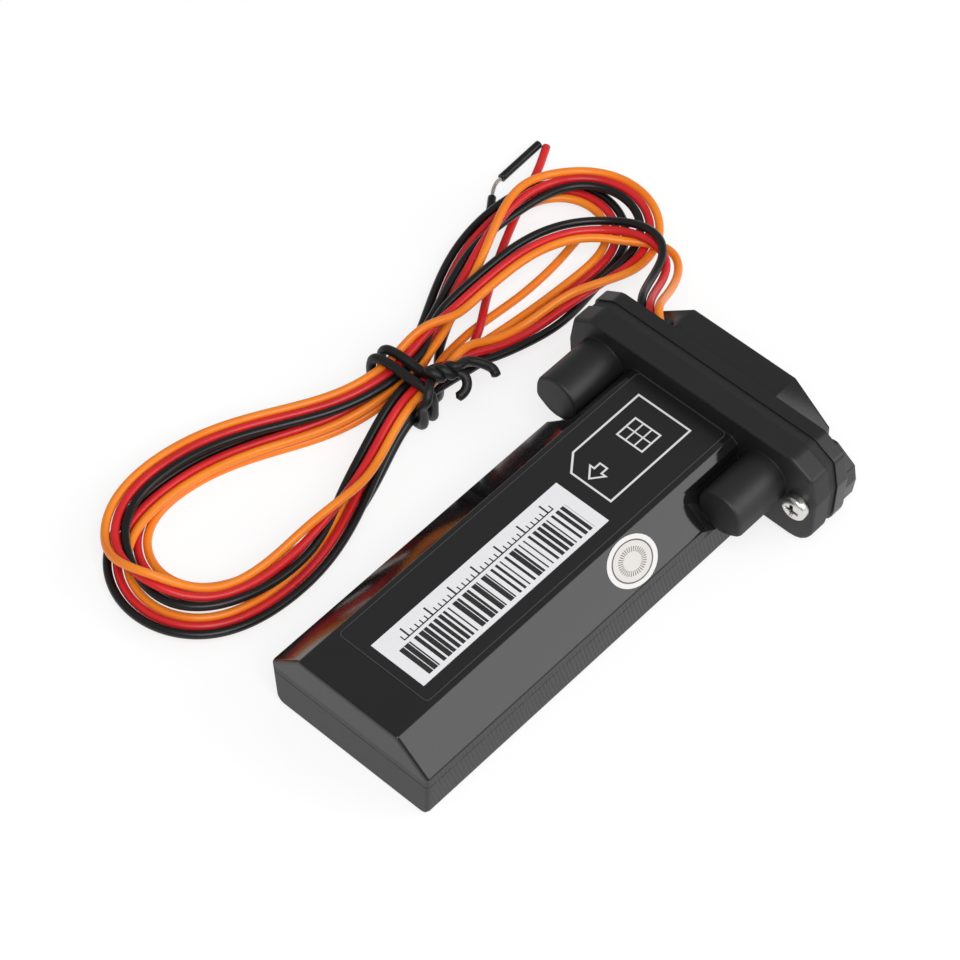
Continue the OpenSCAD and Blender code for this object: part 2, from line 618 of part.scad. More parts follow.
// Each loop: its side of the tie, the middle and radius of its round end, how many degrees its two runs lean,
// the pulls of its runs as shares of its length, its layer going out and coming back, the ribbon's turn
// at its start, middle and end, and the shares of its length where those turns start and stop
loops = [
    [-1, [-31.6, 43.4], 13.2, [6, 18], [0.3, 0.5, 0.5, 0.3], [2, 2], [0, 180, 0], [[0.44, 0.64], [0.66, 0.9]]],
    [1, [52.4, 40.6], 10.9, [0, 0], [0.3, 0.55, 0.5, 0.36], [2, 1], [180, 0, 180], [[0.21, 0.4], [0.6, 0.82]]],
    [-1, [-34.1, 40.6], 13.2, [8, 14], [0.35, 0.5, 0.5, 0.36], [1, 1], [180, 180, 180], [[0, 0.1], [0.9, 1]]],
    [1, [50, 43.9], 9.6, [0, 10], [0.4, 0.5, 0.5, 0.34], [1, 0], [180, 180, 180], [[0, 0.1], [0.9, 1]]],
    [-1, [-30.6, 43.6], 10.8, [5, 22], [0.36, 0.45, 0.6, 0.34], [0, 0], [180, 180, 180], [[0, 0.1], [0.9, 1]]]
];
// Shares of a loop over which it comes down a layer, and up to which the upper pass still turns
climb_shares = [0.86, 1];
turn_share = 0.4;
// Rings of a loop's run out, round end and run back, and of the run from the hank's start to the tie
loop_rings = [9, 7, 8];
start_rings = 7;
// Pulls of that first run, at its start and at the tie
start_pull = 9;
tie_pull = 8;
// Shares of that run over which it comes down to the upper layer
start_shares = [0.2, 0.95];
hank_sides = 6;

function bezier(a, b, c, d, t) = let(u = 1 - t)
    u * u * u * a + 3 * u * u * t * b + 3 * u * t * t * c + t * t * t * d;
function ease(t) = let(u = min(max(t, 0), 1)) u * u * (3 - 2 * u);
function ramp(s, shares) = ease((s - shares[0]) / (shares[1] - shares[0]));
function layer_z(layer) = wire_d / 2 + layer * layer_step;
// Turn of the ribbon beside the tie: flat on one side, on edge in the middle, flat again on the other
function turned(x) = 90 * (1 + sin(90 * min(max((x - turn_x) / turn_reach, -1), 1)));
function loop_plan(h) = let(
    base = h[0] < 0 ? 90 : -90,
    a = base + h[3][0],
    b = base + 180 - h[3][1],
    reach = abs(h[1][0] - tie_x),
    out = [h[0] * reach, 0],
    from = [tie_x, h[0] < 0 ? upper_y : lower_y],
    to = [tie_x, h[0] < 0 ? lower_y : upper_y],
    first = h[1] + h[2] * [cos(a), sin(a)],
    last = h[1] + h[2] * [cos(b), sin(b)],
    n = loop_rings
) concat(
    [for (i = [0 : n[0] - 1]) bezier(from, from + out * h[4][0],
        first - reach * h[4][1] * [-sin(a), cos(a)], first, i / n[0])],
    [for (i = [0 : n[1] - 1]) let(c = a + (b - a) * i / n[1]) h[1] + h[2] * [cos(c), sin(c)]],
    [for (i = [0 : n[2] - 1]) bezier(last, last + reach * h[4][2] * [-sin(b), cos(b)],
        to + out * h[4][3], to, i / n[2])]
);
// The ribbon's middle as X, Y, Z and its turn, first along the run to the tie and then round each loop
function ribbon_start() = let(
    from = [hank_start[0] - wire_d, hank_start[1]],
    to = [tie_x, upper_y]
) concat([[hank_start[0], hank_start[1], hank_start[2], 180]], [
    for (i = [0 : start_rings - 1]) let(
        t = i / start_rings,
        p = bezier(from, from - [start_pull, 0], to + [tie_pull, 0], to, t)
    ) [p[0], p[1], hank_start[2] + (layer_z(2) - hank_start[2]) * ramp(t, start_shares), turned(p[0])]
]);
function ribbon_loop(k) = let(h = loops[k], plan = loop_plan(h), n = len(plan)) [
    for (i = [0 : n - 1]) let(
        s = i / n,
        turn = h[6][0] + (h[6][1] - h[6][0]) * ramp(s, h[7][0]) + (h[6][2] - h[6][1]) * ramp(s, h[7][1])
    ) [plan[i][0], plan[i][1],
        layer_z(h[5][0]) + (layer_z(h[5][1]) - layer_z(h[5][0])) * ramp(s, climb_shares),
        k == 1 && s < turn_share ? min(turned(plan[i][0]), turn) : turn]
];
ribbon = concat(
    ribbon_start(),
    [for (k = [0 : len(loops) - 1]) for (p = ribbon_loop(k)) p],
    [[tie_x, lower_y, layer_z(0), 180]]
);
// Place of one wire of the ribbon: i is 1 for black, 0 for red and -1 for orange, counted across it
function wire_place(k, i) = let(
    q = ribbon[k],
    last = len(ribbon) - 1,
    run = ribbon[min(k + 1, last)] - ribbon[max(k - 1, 0)],
    way = k == 0 ? [-1, 0] : k == last ? [1, 0] : unit([run[0], run[1]]),
    pitch = hank_pitch * (1 + edge_share * sin(q[3])),
    lift = tie_lift * exp(-pow((q[0] - tie_x) / tie_fade, 2))
) [q[0] - i * pitch * cos(q[3]) * way[1],
    q[1] + i * pitch * cos(q[3]) * way[0],
    q[2] + lift + pitch * sin(q[3]) * (1 - i)];
// Free ends of the three wires, from the tie
black_end = [[12.2, 35.4, 2.4], [13.3, 35.9, 1.3], [14.4, 36.8, 0.7], [16.6, 39.3, 0.7], [18.8, 41.5, 0.7],
    [22, 43.6, 0.7], [27.6, 46.4, 0.7], [33, 49.2, 0.7], [38, 51.4, 0.7], [42.6, 53.6, 0.7], [46.4, 55.9, 0.7],
    [49.8, 58.4, 0.7]];
red_end = [[12.5, 37, 2.5], [14.5, 37.1, 2.27], [17, 37.5, 1.75], [20, 38.2, 1.1], [23.6, 39.2, 0.7],
    [26.4, 39.9, 1.5], [28.8, 41.2, 2.25], [31.4, 43, 1.8], [34.4, 45, 0.9], [38.4, 47.4, 0.7], [43, 49.8, 0.7],
    [49, 52.6, 0.7], [55, 55.1, 0.7], [60, 57.2, 0.7], [64, 59.3, 0.7]];
orange_end = [[12.5, 38.7, 2.5], [15, 39.2, 2.3], [17.5, 40, 2.15], [19.5, 40.5, 2], [22, 41.2, 1.1],
    [25, 41.6, 0.7], [32, 41.2, 0.7], [37, 40.8, 0.7], [44, 40.9, 0.7], [54, 42.2, 0.7]];
function hank_path(i, end) = concat([for (k = [0 : len(ribbon) - 1]) wire_place(k, i)], end);
// Least gap of a tube to itself, on points along it: pairs that are closer along it than the reach are left out
gap_cuts = 4;
gap_reach = 6;
function steps(path) = [for (i = [0 : len(path) - 2]) for (j = [0 : gap_cuts - 1])
    path[i] + (path[i + 1] - path[i]) * j / gap_cuts];
function along(p) = [for (i = 0, s = 0; i < len(p); s = s + norm(p[min(i + 1, len(p) - 1)] - p[i]), i = i + 1) s];
function least_gap(path, d) = let(p = steps(path), s = along(p), n = len(p))
    min([for (i = [0 : n - 2]) for (j = [i + 1 : n - 1]) if (s[j] - s[i] > gap_reach) norm(p[i] - p[j])]) - d;
module hank(i, end) {
    echo(least_gap_of_wire = i, mm = least_gap(hank_path(i, end), wire_d));
    beside() tube(hank_path(i, end), wire_d, hank_sides);
}
module black_hank() color("black") hank(1, black_end);
module red_hank() color("firebrick") hank(0, red_end);
module orange_hank() color("darkorange") hank(-1, orange_end);

// The black wire's bare stretch, and the cut-off piece of its insulation that hangs on it
strand_route = [[49.8, 58.4, 0.7], [50.8, 59.14, 0.7], [51.8, 59.7, 0.7], [52.8, 60.05, 0.7], [53.9, 60.1, 0.7]];
tip_route = [[53.9, 60.1, 0.7], [58.7, 60.35, 0.7], [63.6, 60.6, 0.7]];
module black_tip() color("black") beside() tube(tip_route, wire_d, tube_sides);
module black_strand() color("silver") beside() tube(strand_route, strand_d, tube_sides);

// The tie: one end, its turns round the hank's waist as a rounded oblong, and the other end
tie_head = [[18.9, 28.8, 7], [19.5, 29.9, 7.3], [18.5, 31.6, 8.2], [16.9, 33.2, 9.3], [15, 34.8, 10.2],
    [12.8, 36.2, 9.8]];
tie_tail = [[7.2, 32.5, 8.3], [9, 31.8, 9.5], [11, 32.2, 9.7], [12.8, 32.7, 9.3], [14.1, 32.4, 8.4],
    [14.3, 31.4, 7.4], [13.2, 30.7, 6.8], [11.8, 30.9, 6.4]];
tie_middle = [39.45, 4.75];
tie_half = [6.1, 3.85];
tie_angles = [80, 735];
tie_rings = 45;
tie_reach = 2.1;
tie_share = 0.4;
function power(v) = sign(v) * pow(abs(v), tie_share);
tie_turns = [for (i = [0 : tie_rings]) let(a = tie_angles[0] + (tie_angles[1] - tie_angles[0]) * i / tie_rings) [
    tie_x + tie_reach * (1 - 2 * i / tie_rings),
    tie_middle[0] - tie_half[0] * power(cos(a)),
    tie_middle[1] + tie_half[1] * power(sin(a))
]];
tie_path = concat(tie_head, tie_turns, tie_tail);
module twist_tie() color([0.06, 0.06, 0.06]) {
    echo(least_gap_of_tie = least_gap(tie_path, tie_d));
    beside() tube(tie_path, tie_d, hank_sides);
}

housing();
end_cap();
gasket();
left_screw();
right_screw();
wire_grommet();
film_label();
bar_sticker();
oval_sticker();
circuit_board();
patch_antenna();
patch_electrode();
modem_can();
receiver_can();
card_socket();
power_switch();
switch_slider();
status_leds();
capacitor();
coil_inductor();
film_antenna();
battery();
battery_tape();
wire_header();
header_pins();
wire_plug();
black_lead();
red_lead();
orange_lead();
black_lead_in();
red_lead_in();
orange_lead_in();
black_hank();
red_hank();
orange_hank();
black_tip();
black_strand();
twist_tie();
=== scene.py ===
"""Looks of the vehicle tracker: housing, end cap, labels, inner parts, and the three wires beside it."""
import json
import math

import bmesh
import bpy
import numpy as np
from mathutils import Matrix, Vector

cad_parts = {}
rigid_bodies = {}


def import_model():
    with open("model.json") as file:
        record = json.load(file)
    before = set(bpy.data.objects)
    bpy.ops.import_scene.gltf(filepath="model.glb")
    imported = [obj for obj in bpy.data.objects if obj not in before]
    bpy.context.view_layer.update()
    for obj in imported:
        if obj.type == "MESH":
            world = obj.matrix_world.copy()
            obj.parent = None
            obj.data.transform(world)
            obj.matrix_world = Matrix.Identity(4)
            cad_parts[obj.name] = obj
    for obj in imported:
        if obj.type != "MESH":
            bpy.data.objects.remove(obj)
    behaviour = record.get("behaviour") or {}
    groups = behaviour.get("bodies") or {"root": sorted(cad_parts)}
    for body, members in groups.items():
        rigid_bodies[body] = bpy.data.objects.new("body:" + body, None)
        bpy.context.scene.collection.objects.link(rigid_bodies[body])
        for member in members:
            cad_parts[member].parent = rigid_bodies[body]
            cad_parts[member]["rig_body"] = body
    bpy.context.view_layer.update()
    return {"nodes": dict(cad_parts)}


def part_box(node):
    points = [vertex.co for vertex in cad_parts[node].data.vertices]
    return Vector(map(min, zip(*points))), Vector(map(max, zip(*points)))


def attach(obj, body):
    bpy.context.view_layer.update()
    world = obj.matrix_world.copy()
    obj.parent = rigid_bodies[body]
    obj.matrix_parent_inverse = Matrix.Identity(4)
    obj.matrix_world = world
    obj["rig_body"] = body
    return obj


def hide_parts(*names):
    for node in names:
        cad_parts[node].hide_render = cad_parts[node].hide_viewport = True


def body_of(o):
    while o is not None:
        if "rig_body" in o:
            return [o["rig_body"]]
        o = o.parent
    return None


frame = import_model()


# Camera: a long lens, high in front of the closed end and on the side away from the wires, so that the
# flat top, the closed end and one long side show.
def add(name, data):
    """An object with that data, put into the scene."""
    made = bpy.data.objects.new(name, data)
    bpy.context.scene.collection.objects.link(made)
    return made


def stand(name, data, right, up, back, place):
    """A camera or lamp at a place in metres, given the directions to its right, over it and behind it."""
    pose = np.eye(4)
    pose[:3] = np.column_stack([right, up, back, place])
    made = add(name, data)
    made.matrix_world = Matrix(pose.tolist())
    return made


lens = bpy.data.cameras.new("camera")
lens.sensor_width = 36
lens.lens = 145.215
lens.clip_start = 0.01
bpy.context.scene.camera = stand(
    "camera", lens, right=(0.67918, -0.73381, -0.01502), up=(0.5892, 0.5329, 0.60734),
    back=(-0.43767, -0.42135, 0.7943), place=(-0.25534, -0.2297, 0.47474))


# Wires: three stranded hook-up wires, 1.4 mm over glossy soft insulation. They leave the cap side by side
# and run as a flat ribbon through the five loops of a hank, which the tie holds at its waist. Their paths
# are in millimetres, with Y from the tracker's middle line and Z from the ground.
mm = 0.001
middle_y = 1.35
wire_d = 1.4
wire_sides = 14
pitch = 1.5
tie_x, upper_y, lower_y = 9, 41.9, 37
layer_step = 1.95
hank_start = np.array([33, 43.7, 6.7])
half_turn_x, half_turn_l = 18, 7.5
tie_lift, tie_lift_l = 2.1, 9
tail_bell, tail_blend = 1.2, 8

# A loop runs from the tie to the closed end (side -1) or past the cap (side 1), round its centre and back
# to the tie. lean is how many degrees its arc is short of half a circle at either end, and pull has the
# cubics' handles as shares of its reach. layers are its heights in the tie, and turns the ribbon's turn in
# degrees at its start, middle and end, which changes over the two shares of the loop.
level = dict(turns=(180, 180, 180), shares=((0, 0.1), (0.9, 1)))
loops = [
    dict(side=-1, centre=(-31.6, 43.4), radius=13.2, lean=(6, 18), pull=(0.3, 0.5, 0.5, 0.3),
         layers=(2, 2), turns=(0, 180, 0), shares=((0.44, 0.64), (0.66, 0.9))),
    dict(side=1, centre=(52.4, 40.6), radius=10.9, lean=(0, 0), pull=(0.3, 0.55, 0.5, 0.36),
         layers=(2, 1), turns=(180, 0, 180), shares=((0.21, 0.4), (0.6, 0.82))),
    dict(side=-1, centre=(-34.1, 40.6), radius=13.2, lean=(8, 14), pull=(0.35, 0.5, 0.5, 0.36),
         layers=(1, 1), **level),
    dict(side=1, centre=(50, 43.9), radius=9.6, lean=(0, 10), pull=(0.4, 0.5, 0.5, 0.34),
         layers=(1, 0), **level),
    dict(side=-1, centre=(-30.6, 43.6), radius=10.8, lean=(5, 22), pull=(0.36, 0.45, 0.6, 0.34),
         layers=(0, 0), **level),
]


def steps(count):
    """That many equal steps from 0 up to but not including 1."""
    return np.arange(count) / count


def bezier(a, b, c, d, t):
    """The cubic with end points a and d that leaves towards b and arrives from c."""
    t = np.asarray(t)[:, None]
    u = 1 - t
    return u**3 * a + 3 * u**2 * t * b + 3 * u * t**2 * c + t**3 * d


def ramp(s, low, high):
    """0 below low, 1 above high, and between them three times the share's square less twice its cube."""
    u = np.clip((s - low) / (high - low), 0, 1)
    return u * u * (3 - 2 * u)


def layer_z(layer):
    """Height of a wire's middle in that layer."""
    return wire_d / 2 + layer * layer_step


def turned(x):
    """The half turn beside the tie in degrees: 0 on its near side and 180 beyond, as a sine of X."""
    return 90 * (1 + np.sin(np.radians(90 * np.clip((x - half_turn_x) / half_turn_l, -1, 1))))


def loop_plan(side, centre, radius, lean, pull, **rest):
    """One loop from above: a cubic out of the tie, an arc about its centre, and a cubic back to the tie."""
    base = math.radians(-90 * side)
    first, last = base + math.radians(lean[0]), base + math.pi - math.radians(lean[1])
    reach = abs(centre[0] - tie_x)
    away = np.array([side * reach, 0])
    heights = (upper_y, lower_y) if side < 0 else (lower_y, upper_y)
    leave, arrive = (np.array([tie_x, y]) for y in heights)

    def rim(a):
        return np.array(centre) + radius * np.stack([np.cos(a), np.sin(a)], -1)

    def heading(a):
        return np.array([-math.sin(a), math.cos(a)])

    out = bezier(leave, leave + away * pull[0],
                 rim(first) - reach * pull[1] * heading(first), rim(first), steps(9))
    back = bezier(rim(last), rim(last) + reach * pull[2] * heading(last),
                  arrive + away * pull[3], arrive, steps(8))
    return np.concatenate([out, rim(first + (last - first) * steps(7)), back])


def ribbon_loop(number, loop):
    """Columns x, y, height and turn of the ribbon's middle along one loop. Its height changes over the
    last 14%. The second loop leaves through the half turn beside the tie."""
    plan = loop_plan(**loop)
    s = steps(len(plan))
    a, b, c = loop["turns"]
    turn = a + (b - a) * ramp(s, *loop["shares"][0]) + (c - b) * ramp(s, *loop["shares"][1])
    if number == 1:
        turn = np.where(s < 0.4, np.minimum(turned(plan[:, 0]), turn), turn)
    low, high = (layer_z(k) for k in loop["layers"])
    return np.column_stack([plan, low + (high - low) * ramp(s, 0.86, 1), turn])


entry, tie_in = hank_start[:2] - np.array([wire_d, 0]), np.array([tie_x, upper_y])
t = steps(7)
run_in = bezier(entry, entry - np.array([9, 0]), tie_in + np.array([8, 0]), tie_in, t)
ribbon = np.concatenate([
    [[*hank_start, 180]],
    np.column_stack([run_in, hank_start[2] + (layer_z(2) - hank_start[2]) * ramp(t, 0.2, 0.95),
                     turned(run_in[:, 0])]),
    *[ribbon_loop(k, loop) for k, loop in enumerate(loops)],
    [[tie_x, lower_y, layer_z(0), 180]],
])


def ribbon_wire(place):
    """One wire of the ribbon, place pitches across it: sideways with the cosine of the turn and up with its
    sine, on a pitch that is a fifth wider on edge. In the tie it is lifted by a bell of the distance."""
    way = np.empty((len(ribbon), 2))
    way[1:-1] = ribbon[2:, :2] - ribbon[:-2, :2]
    way[0], way[-1] = (-1, 0), (1, 0)
    way /= np.linalg.norm(way, axis=1)[:, None]
    turn = np.radians(ribbon[:, 3])
    wide = pitch * (1 + 0.2 * np.sin(turn))
    across = place * wide * np.cos(turn)
    lift = tie_lift * np.exp(-(((ribbon[:, 0] - tie_x) / tie_lift_l) ** 2))
    return np.column_stack([ribbon[:, 0] - across * way[:, 1], ribbon[:, 1] + across * way[:, 0],
                            ribbon[:, 2] + lift + wide * np.sin(turn) * (1 - place)])


def relaxed(line, width):
    """Each point as the bell-weighted mean of those within three widths of it, which takes kinks out of a
    line. Beyond its ends the line is carried on as its own mirror image about them, so that they stay."""
    if width <= 0:
        return line
    reach = min(int(3 * width) + 1, len(line) - 1)
    bell = np.exp(-0.5 * (np.arange(-reach, reach + 1) / width) ** 2)
    bell /= bell.sum()
    long = np.concatenate([2 * line[0] - line[reach:0:-1], line, 2 * line[-1] - line[-2:-reach - 2:-1]])
    return np.stack([np.convolve(long[:, k], bell, "valid") for k in range(3)], -1)


def smooth_line(points, step, soften=0.0, tail=0.0):
    """The cubic through the points whose slope at each comes from its two neighbours, in equal steps, in
    metres and moved to the tracker's middle line. A bell that many millimetres wide softens it, and a
    narrower one its tail, with a blend before the tail."""
    points = np.asarray(points, float)
    gap = np.linalg.norm(np.diff(points, axis=0), axis=1)
    run = np.concatenate([[0], np.cumsum(gap)])
    slope = np.gradient(points, run, axis=0)
    s = np.linspace(0, run[-1], int(run[-1] / step) + 1)
    k = np.clip(np.searchsorted(run, s, side="right") - 1, 0, len(gap) - 1)
    h, t = gap[k][:, None], ((s - run[k]) / gap[k])[:, None]
    line = ((2 * t**3 - 3 * t**2 + 1) * points[k] + (t**3 - 2 * t**2 + t) * h * slope[k]
            + (3 * t**2 - 2 * t**3) * points[k + 1] + (t**3 - t**2) * h * slope[k + 1])
    eased = relaxed(line, soften / step)
    if tail:
        share = ramp(s, s[-1] - tail - tail_blend, s[-1] - tail)[:, None]
        eased += (relaxed(line, tail_bell / step) - eased) * share
    return (eased + [0, middle_y, 0]) * mm


def line_frames(line):
    """Unit vectors along the line, to its side and over it, the side carried on from point to point."""
    along = np.gradient(line, axis=0)
    along /= np.linalg.norm(along, axis=1)[:, None]
    side = np.empty_like(along)
    now = np.cross([0, 0, 1], along[0])
    for k, t in enumerate(along):
        now = now - now.dot(t) * t
        now = now / np.linalg.norm(now)
        side[k] = now
    return along, side, np.cross(along, side)


def tube_grid(line, radius, sides, phase=0.0, offset=0.0, twist=0.0):
    """Circles square to the line: the line plus radius times the cosine to its side and the sine over it.
    An offset carries the whole circle round the line, as a strand in a bundle. With them goes the skin:
    cosine, sine and millimetres along the line."""
    along, side, over = line_frames(line)
    run = np.concatenate([[0], np.cumsum(np.linalg.norm(np.diff(line, axis=0), axis=1))])
    swing = (phase + twist * run)[:, None]
    heart = line + offset * (np.cos(swing) * side + np.sin(swing) * over)
    a = 2 * np.pi * steps(sides)
    grid = heart[:, None] + np.reshape(radius, (-1, 1, 1)) * (
        np.cos(a)[None, :, None] * side[:, None] + np.sin(a)[None, :, None] * over[:, None])
    skin = [np.broadcast_to(part, grid.shape[:2]) for part in (np.cos(a), np.sin(a), run[:, None] / mm)]
    return grid, np.stack(skin, -1)


def piece(name, grids, body):
    """Quads between the rows of each grid, whose columns close on themselves, and a face over each end."""
    points, skins, faces, base = [], [], [], 0
    for grid, skin in grids:
        n, m = grid.shape[:2]
        k = np.arange(m)
        row = base + m * np.arange(n - 1)[:, None]
        after = (k + 1) % m
        faces += np.stack([row + k, row + after, row + m + after, row + m + k], -1).reshape(-1, 4).tolist()
        faces += [(base + k[::-1]).tolist(), (base + m * (n - 1) + k).tolist()]
        points.append(grid.reshape(-1, 3))
        skins.append(skin.reshape(-1, 3))
        base += n * m
    mesh = bpy.data.meshes.new(name)
    mesh.from_pydata(np.concatenate(points), [], faces)
    skin = mesh.attributes.new("skin", "FLOAT_VECTOR", "POINT")
    skin.data.foreach_set("vector", np.concatenate(skins).astype(np.float32).ravel())
    mesh.polygons.foreach_set("use_smooth", np.array([len(face) == 4 for face in faces]))
    mesh.update()
    made = add(name, mesh)
    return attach(made, body)


def maths(operation, reflected=False):
    """A method that puts its own value and another into a Math node, its own last where reflected."""
    def method(self, *other):
        values = (*other, self) if reflected else (self, *other)
        return self.finish.node("ShaderNodeMath", values, operation=operation)
    return method


class Term:
    """A value in a material's tree; arithmetic on it adds Math nodes."""

    def __init__(self, finish, socket):
        self.finish, self.socket = finish, socket

    __add__, __radd__ = maths("ADD"), maths("ADD", reflected=True)
    __sub__, __rsub__ = maths("SUBTRACT"), maths("SUBTRACT", reflected=True)
    __mul__, __rmul__ = maths("MULTIPLY"), maths("MULTIPLY", reflected=True)
    __truediv__, __mod__, __pow__ = maths("DIVIDE"), maths("FLOORED_MODULO"), maths("POWER")
    __gt__, __lt__, __abs__ = maths("GREATER_THAN"), maths("LESS_THAN"), maths("ABSOLUTE")
    floor, sine, root = maths("FLOOR"), maths("SINE"), maths("SQRT")
    least, most, angle = maths("MINIMUM"), maths("MAXIMUM"), maths("ARCTAN2")


class Finish:
    """One material: a Principled shader with its constants set, and one method that adds any other node."""

    def __init__(self, name, colour, roughness, **constants):
        self.material = bpy.data.materials.new(name)
        self.material.use_nodes = True
        self.tree = self.material.node_tree
        self.shader = self.tree.nodes["Principled BSDF"]
        self.set("Base Color", (*colour, 1))
        self.set("Roughness", roughness)
        for socket, value in constants.items():
            self.set(socket.replace("_", " ").title().replace("Ior", "IOR"), value)

    def set(self, socket, value):
        socket = self.shader.inputs[socket]
        if isinstance(value, Term):
            self.tree.links.new(value.socket, socket)
        else:
            socket.default_value = value

    def node(self, kind, values=(), output=0, **settings):
        made = self.tree.nodes.new(kind)
        for name, value in settings.items():
            setattr(made, name, value)
        for key, value in values.items() if isinstance(values, dict) else enumerate(values):
            if isinstance(value, Term):
                self.tree.links.new(value.socket, made.inputs[key])
            else:
                made.inputs[key].default_value = value
        return Term(self, made.outputs[output])

    def parts(self, vector):
        """X, Y and Z of a vector."""
        return [self.node("ShaderNodeSeparateXYZ", [vector], output=k) for k in range(3)]

    def place(self):
        """X, Y and Z of the surface in millimetres, from the part's own origin."""
        return [part * 1000 for part in self.parts(self.node("ShaderNodeTexCoord", output="Object"))]

    def skin(self):
        """What the mesh carries for its own pattern, such as the place round and along a wire."""
        return self.node("ShaderNodeAttribute", attribute_name="skin", output="Vector")

    def vector(self, x, y, z):
        return self.node("ShaderNodeCombineXYZ", [x, y, z])

    def noise(self, at, scale, detail=2.0, roughness=0.5):
        sockets = {"Vector": at, "Scale": scale, "Detail": detail, "Roughness": roughness}
        return self.node("ShaderNodeTexNoise", sockets, output="Fac")

    def mix(self, share, a, b):
        """Colour a where the share is 0 and b where it is 1."""
        ends = [v if isinstance(v, Term) else (*v, 1) for v in (a, b)]
        return self.node("ShaderNodeMix", {0: share, 6: ends[0], 7: ends[1]}, output=2,
                         data_type="RGBA", clamp_factor=True)

    def clamp(self, value):
        return self.node("ShaderNodeClamp", [value])

    def bump(self, height, distance, strength=1.0, edge=0.0):
        """Tilts the surface by a height in millimetres, over edges that are rounded to that radius."""
        sockets = {"Height": height, "Distance": distance * mm, "Strength": strength}
        if edge:
            sockets["Normal"] = self.node("ShaderNodeBevel", {"Radius": edge * mm}, samples=6)
        self.set("Normal", self.node("ShaderNodeBump", sockets))


def insulation(name, colour, dark):
    """Extruded soft insulation: fine drawn lines along the wire, a cloudy colour and an uneven gloss."""
    finish = Finish(name, colour, 0.3, specular_ior_level=0.4)
    x, y, run = finish.parts(finish.skin())
    cloud = finish.noise(finish.vector(x * 0.5, y * 0.5, run * 0.12), 1.0, 3.0)
    drawn = finish.noise(finish.vector(x * 6, y * 6, run * 0.25), 1.0, 2.0)
    finish.set("Base Color", finish.mix((cloud - 0.35) * 2.2, colour, dark))
    finish.set("Roughness", 0.24 + 0.16 * drawn)
    finish.bump(drawn, 0.02, 0.5)
    return finish.material


leads_in = {
    "orange": [(39.7, 14.6, 16.4), (41.5, 15.2, 15.5), (43.6, 16.6, 13.4), (46.6, 18, 11), (49.6, 19.5, 9),
               (52.6, 21, 7.4), (55, 22.5, 6.6), (57, 24.6, 6.3), (57.6, 27, 6.2), (56.6, 29.2, 6.2),
               (54.9, 31, 6.2), (53.3, 32.9, 6.4), (51.7, 35.6, 6.7), (49.5, 38.2, 6.7), (47, 39.8, 6.7),
               (44, 41.1, 6.7), (40.6, 41.9, 6.7), (37, 42.2, 6.7)],
    "red": [(39.6, 16.1, 15.3), (41, 16.8, 14.7), (43, 18.3, 13), (45.8, 19.8, 11), (49, 21.3, 9.2),
            (51.8, 22.6, 8.1), (54, 24, 7.8), (55.3, 26, 7.8), (55.6, 28.4, 7.8), (55.4, 30.8, 7.8),
            (54.8, 33.6, 7.3), (52.9, 36.6, 6.7), (50.4, 39.4, 6.7), (47.6, 41.2, 6.7), (44.4, 42.5, 6.7),
            (40.8, 43.4, 6.7), (37, 43.7, 6.7)],
    "black": [(39.6, 17.7, 14.4), (41.2, 18.9, 14.1), (43.6, 20.3, 12.6), (46.2, 21.6, 11.2), (49, 22.8, 10),
              (51.6, 23.8, 9.4), (54, 24.7, 9.4), (55.6, 26.4, 9.3), (56.6, 29, 9), (56.8, 31.8, 8.3),
              (56.1, 35, 7.3), (54.2, 38.2, 6.7), (51.4, 41, 6.7), (48.4, 42.9, 6.7), (45, 44.2, 6.7),
              (41, 45, 6.7), (37, 45.2, 6.7)],
}
free_ends = {
    "orange": [(12.5, 38.7, 2.5), (15, 39.2, 2.3), (17.5, 40, 2.15), (19.5, 40.5, 2), (22, 41.2, 1.1),
               (25, 41.6, 0.7), (32, 41.2, 0.7), (37, 40.8, 0.7), (44, 40.9, 0.7), (54, 42.2, 0.7)],
    "red": [(12.5, 37, 2.5), (14.5, 37.1, 2.27), (17, 37.5, 1.75), (20, 38.2, 1.1), (23.6, 39.2, 0.7),
            (26.4, 39.9, 1.5), (28.8, 41.2, 2.25), (31.4, 43, 1.8), (34.4, 45, 0.9), (38.4, 47.4, 0.7),
            (43, 49.8, 0.7), (49, 52.6, 0.7), (55, 55.1, 0.7), (60, 57.2, 0.7), (64, 59.3, 0.7)],
    "black": [(12.2, 35.4, 2.4), (13.3, 35.9, 1.3), (14.4, 36.8, 0.7), (16.6, 39.3, 0.7), (18.8, 41.5, 0.7),
              (22, 43.6, 0.7), (27.6, 46.4, 0.7), (33, 49.2, 0.7), (38, 51.4, 0.7), (42.6, 53.6, 0.7),
              (46.4, 55.9, 0.7), (49.8, 58.4, 0.7)],
}
colours = {
    "orange": ((0.96, 0.27, 0.018), (0.88, 0.19, 0.01)),
    "red": ((0.7, 0.018, 0.022), (0.5, 0.01, 0.013)),
    "black": ((0.0035, 0.0032, 0.0032), (0.007, 0.0065, 0.0065)),
}
places = {"orange": -1, "red": 0, "black": 1}
exit_x, exit_y, exit_z, exit_gap = 38.9, 13.8, 13.25, 2
cap_slope = math.atan2(6.1, 7.2)
wires = {}
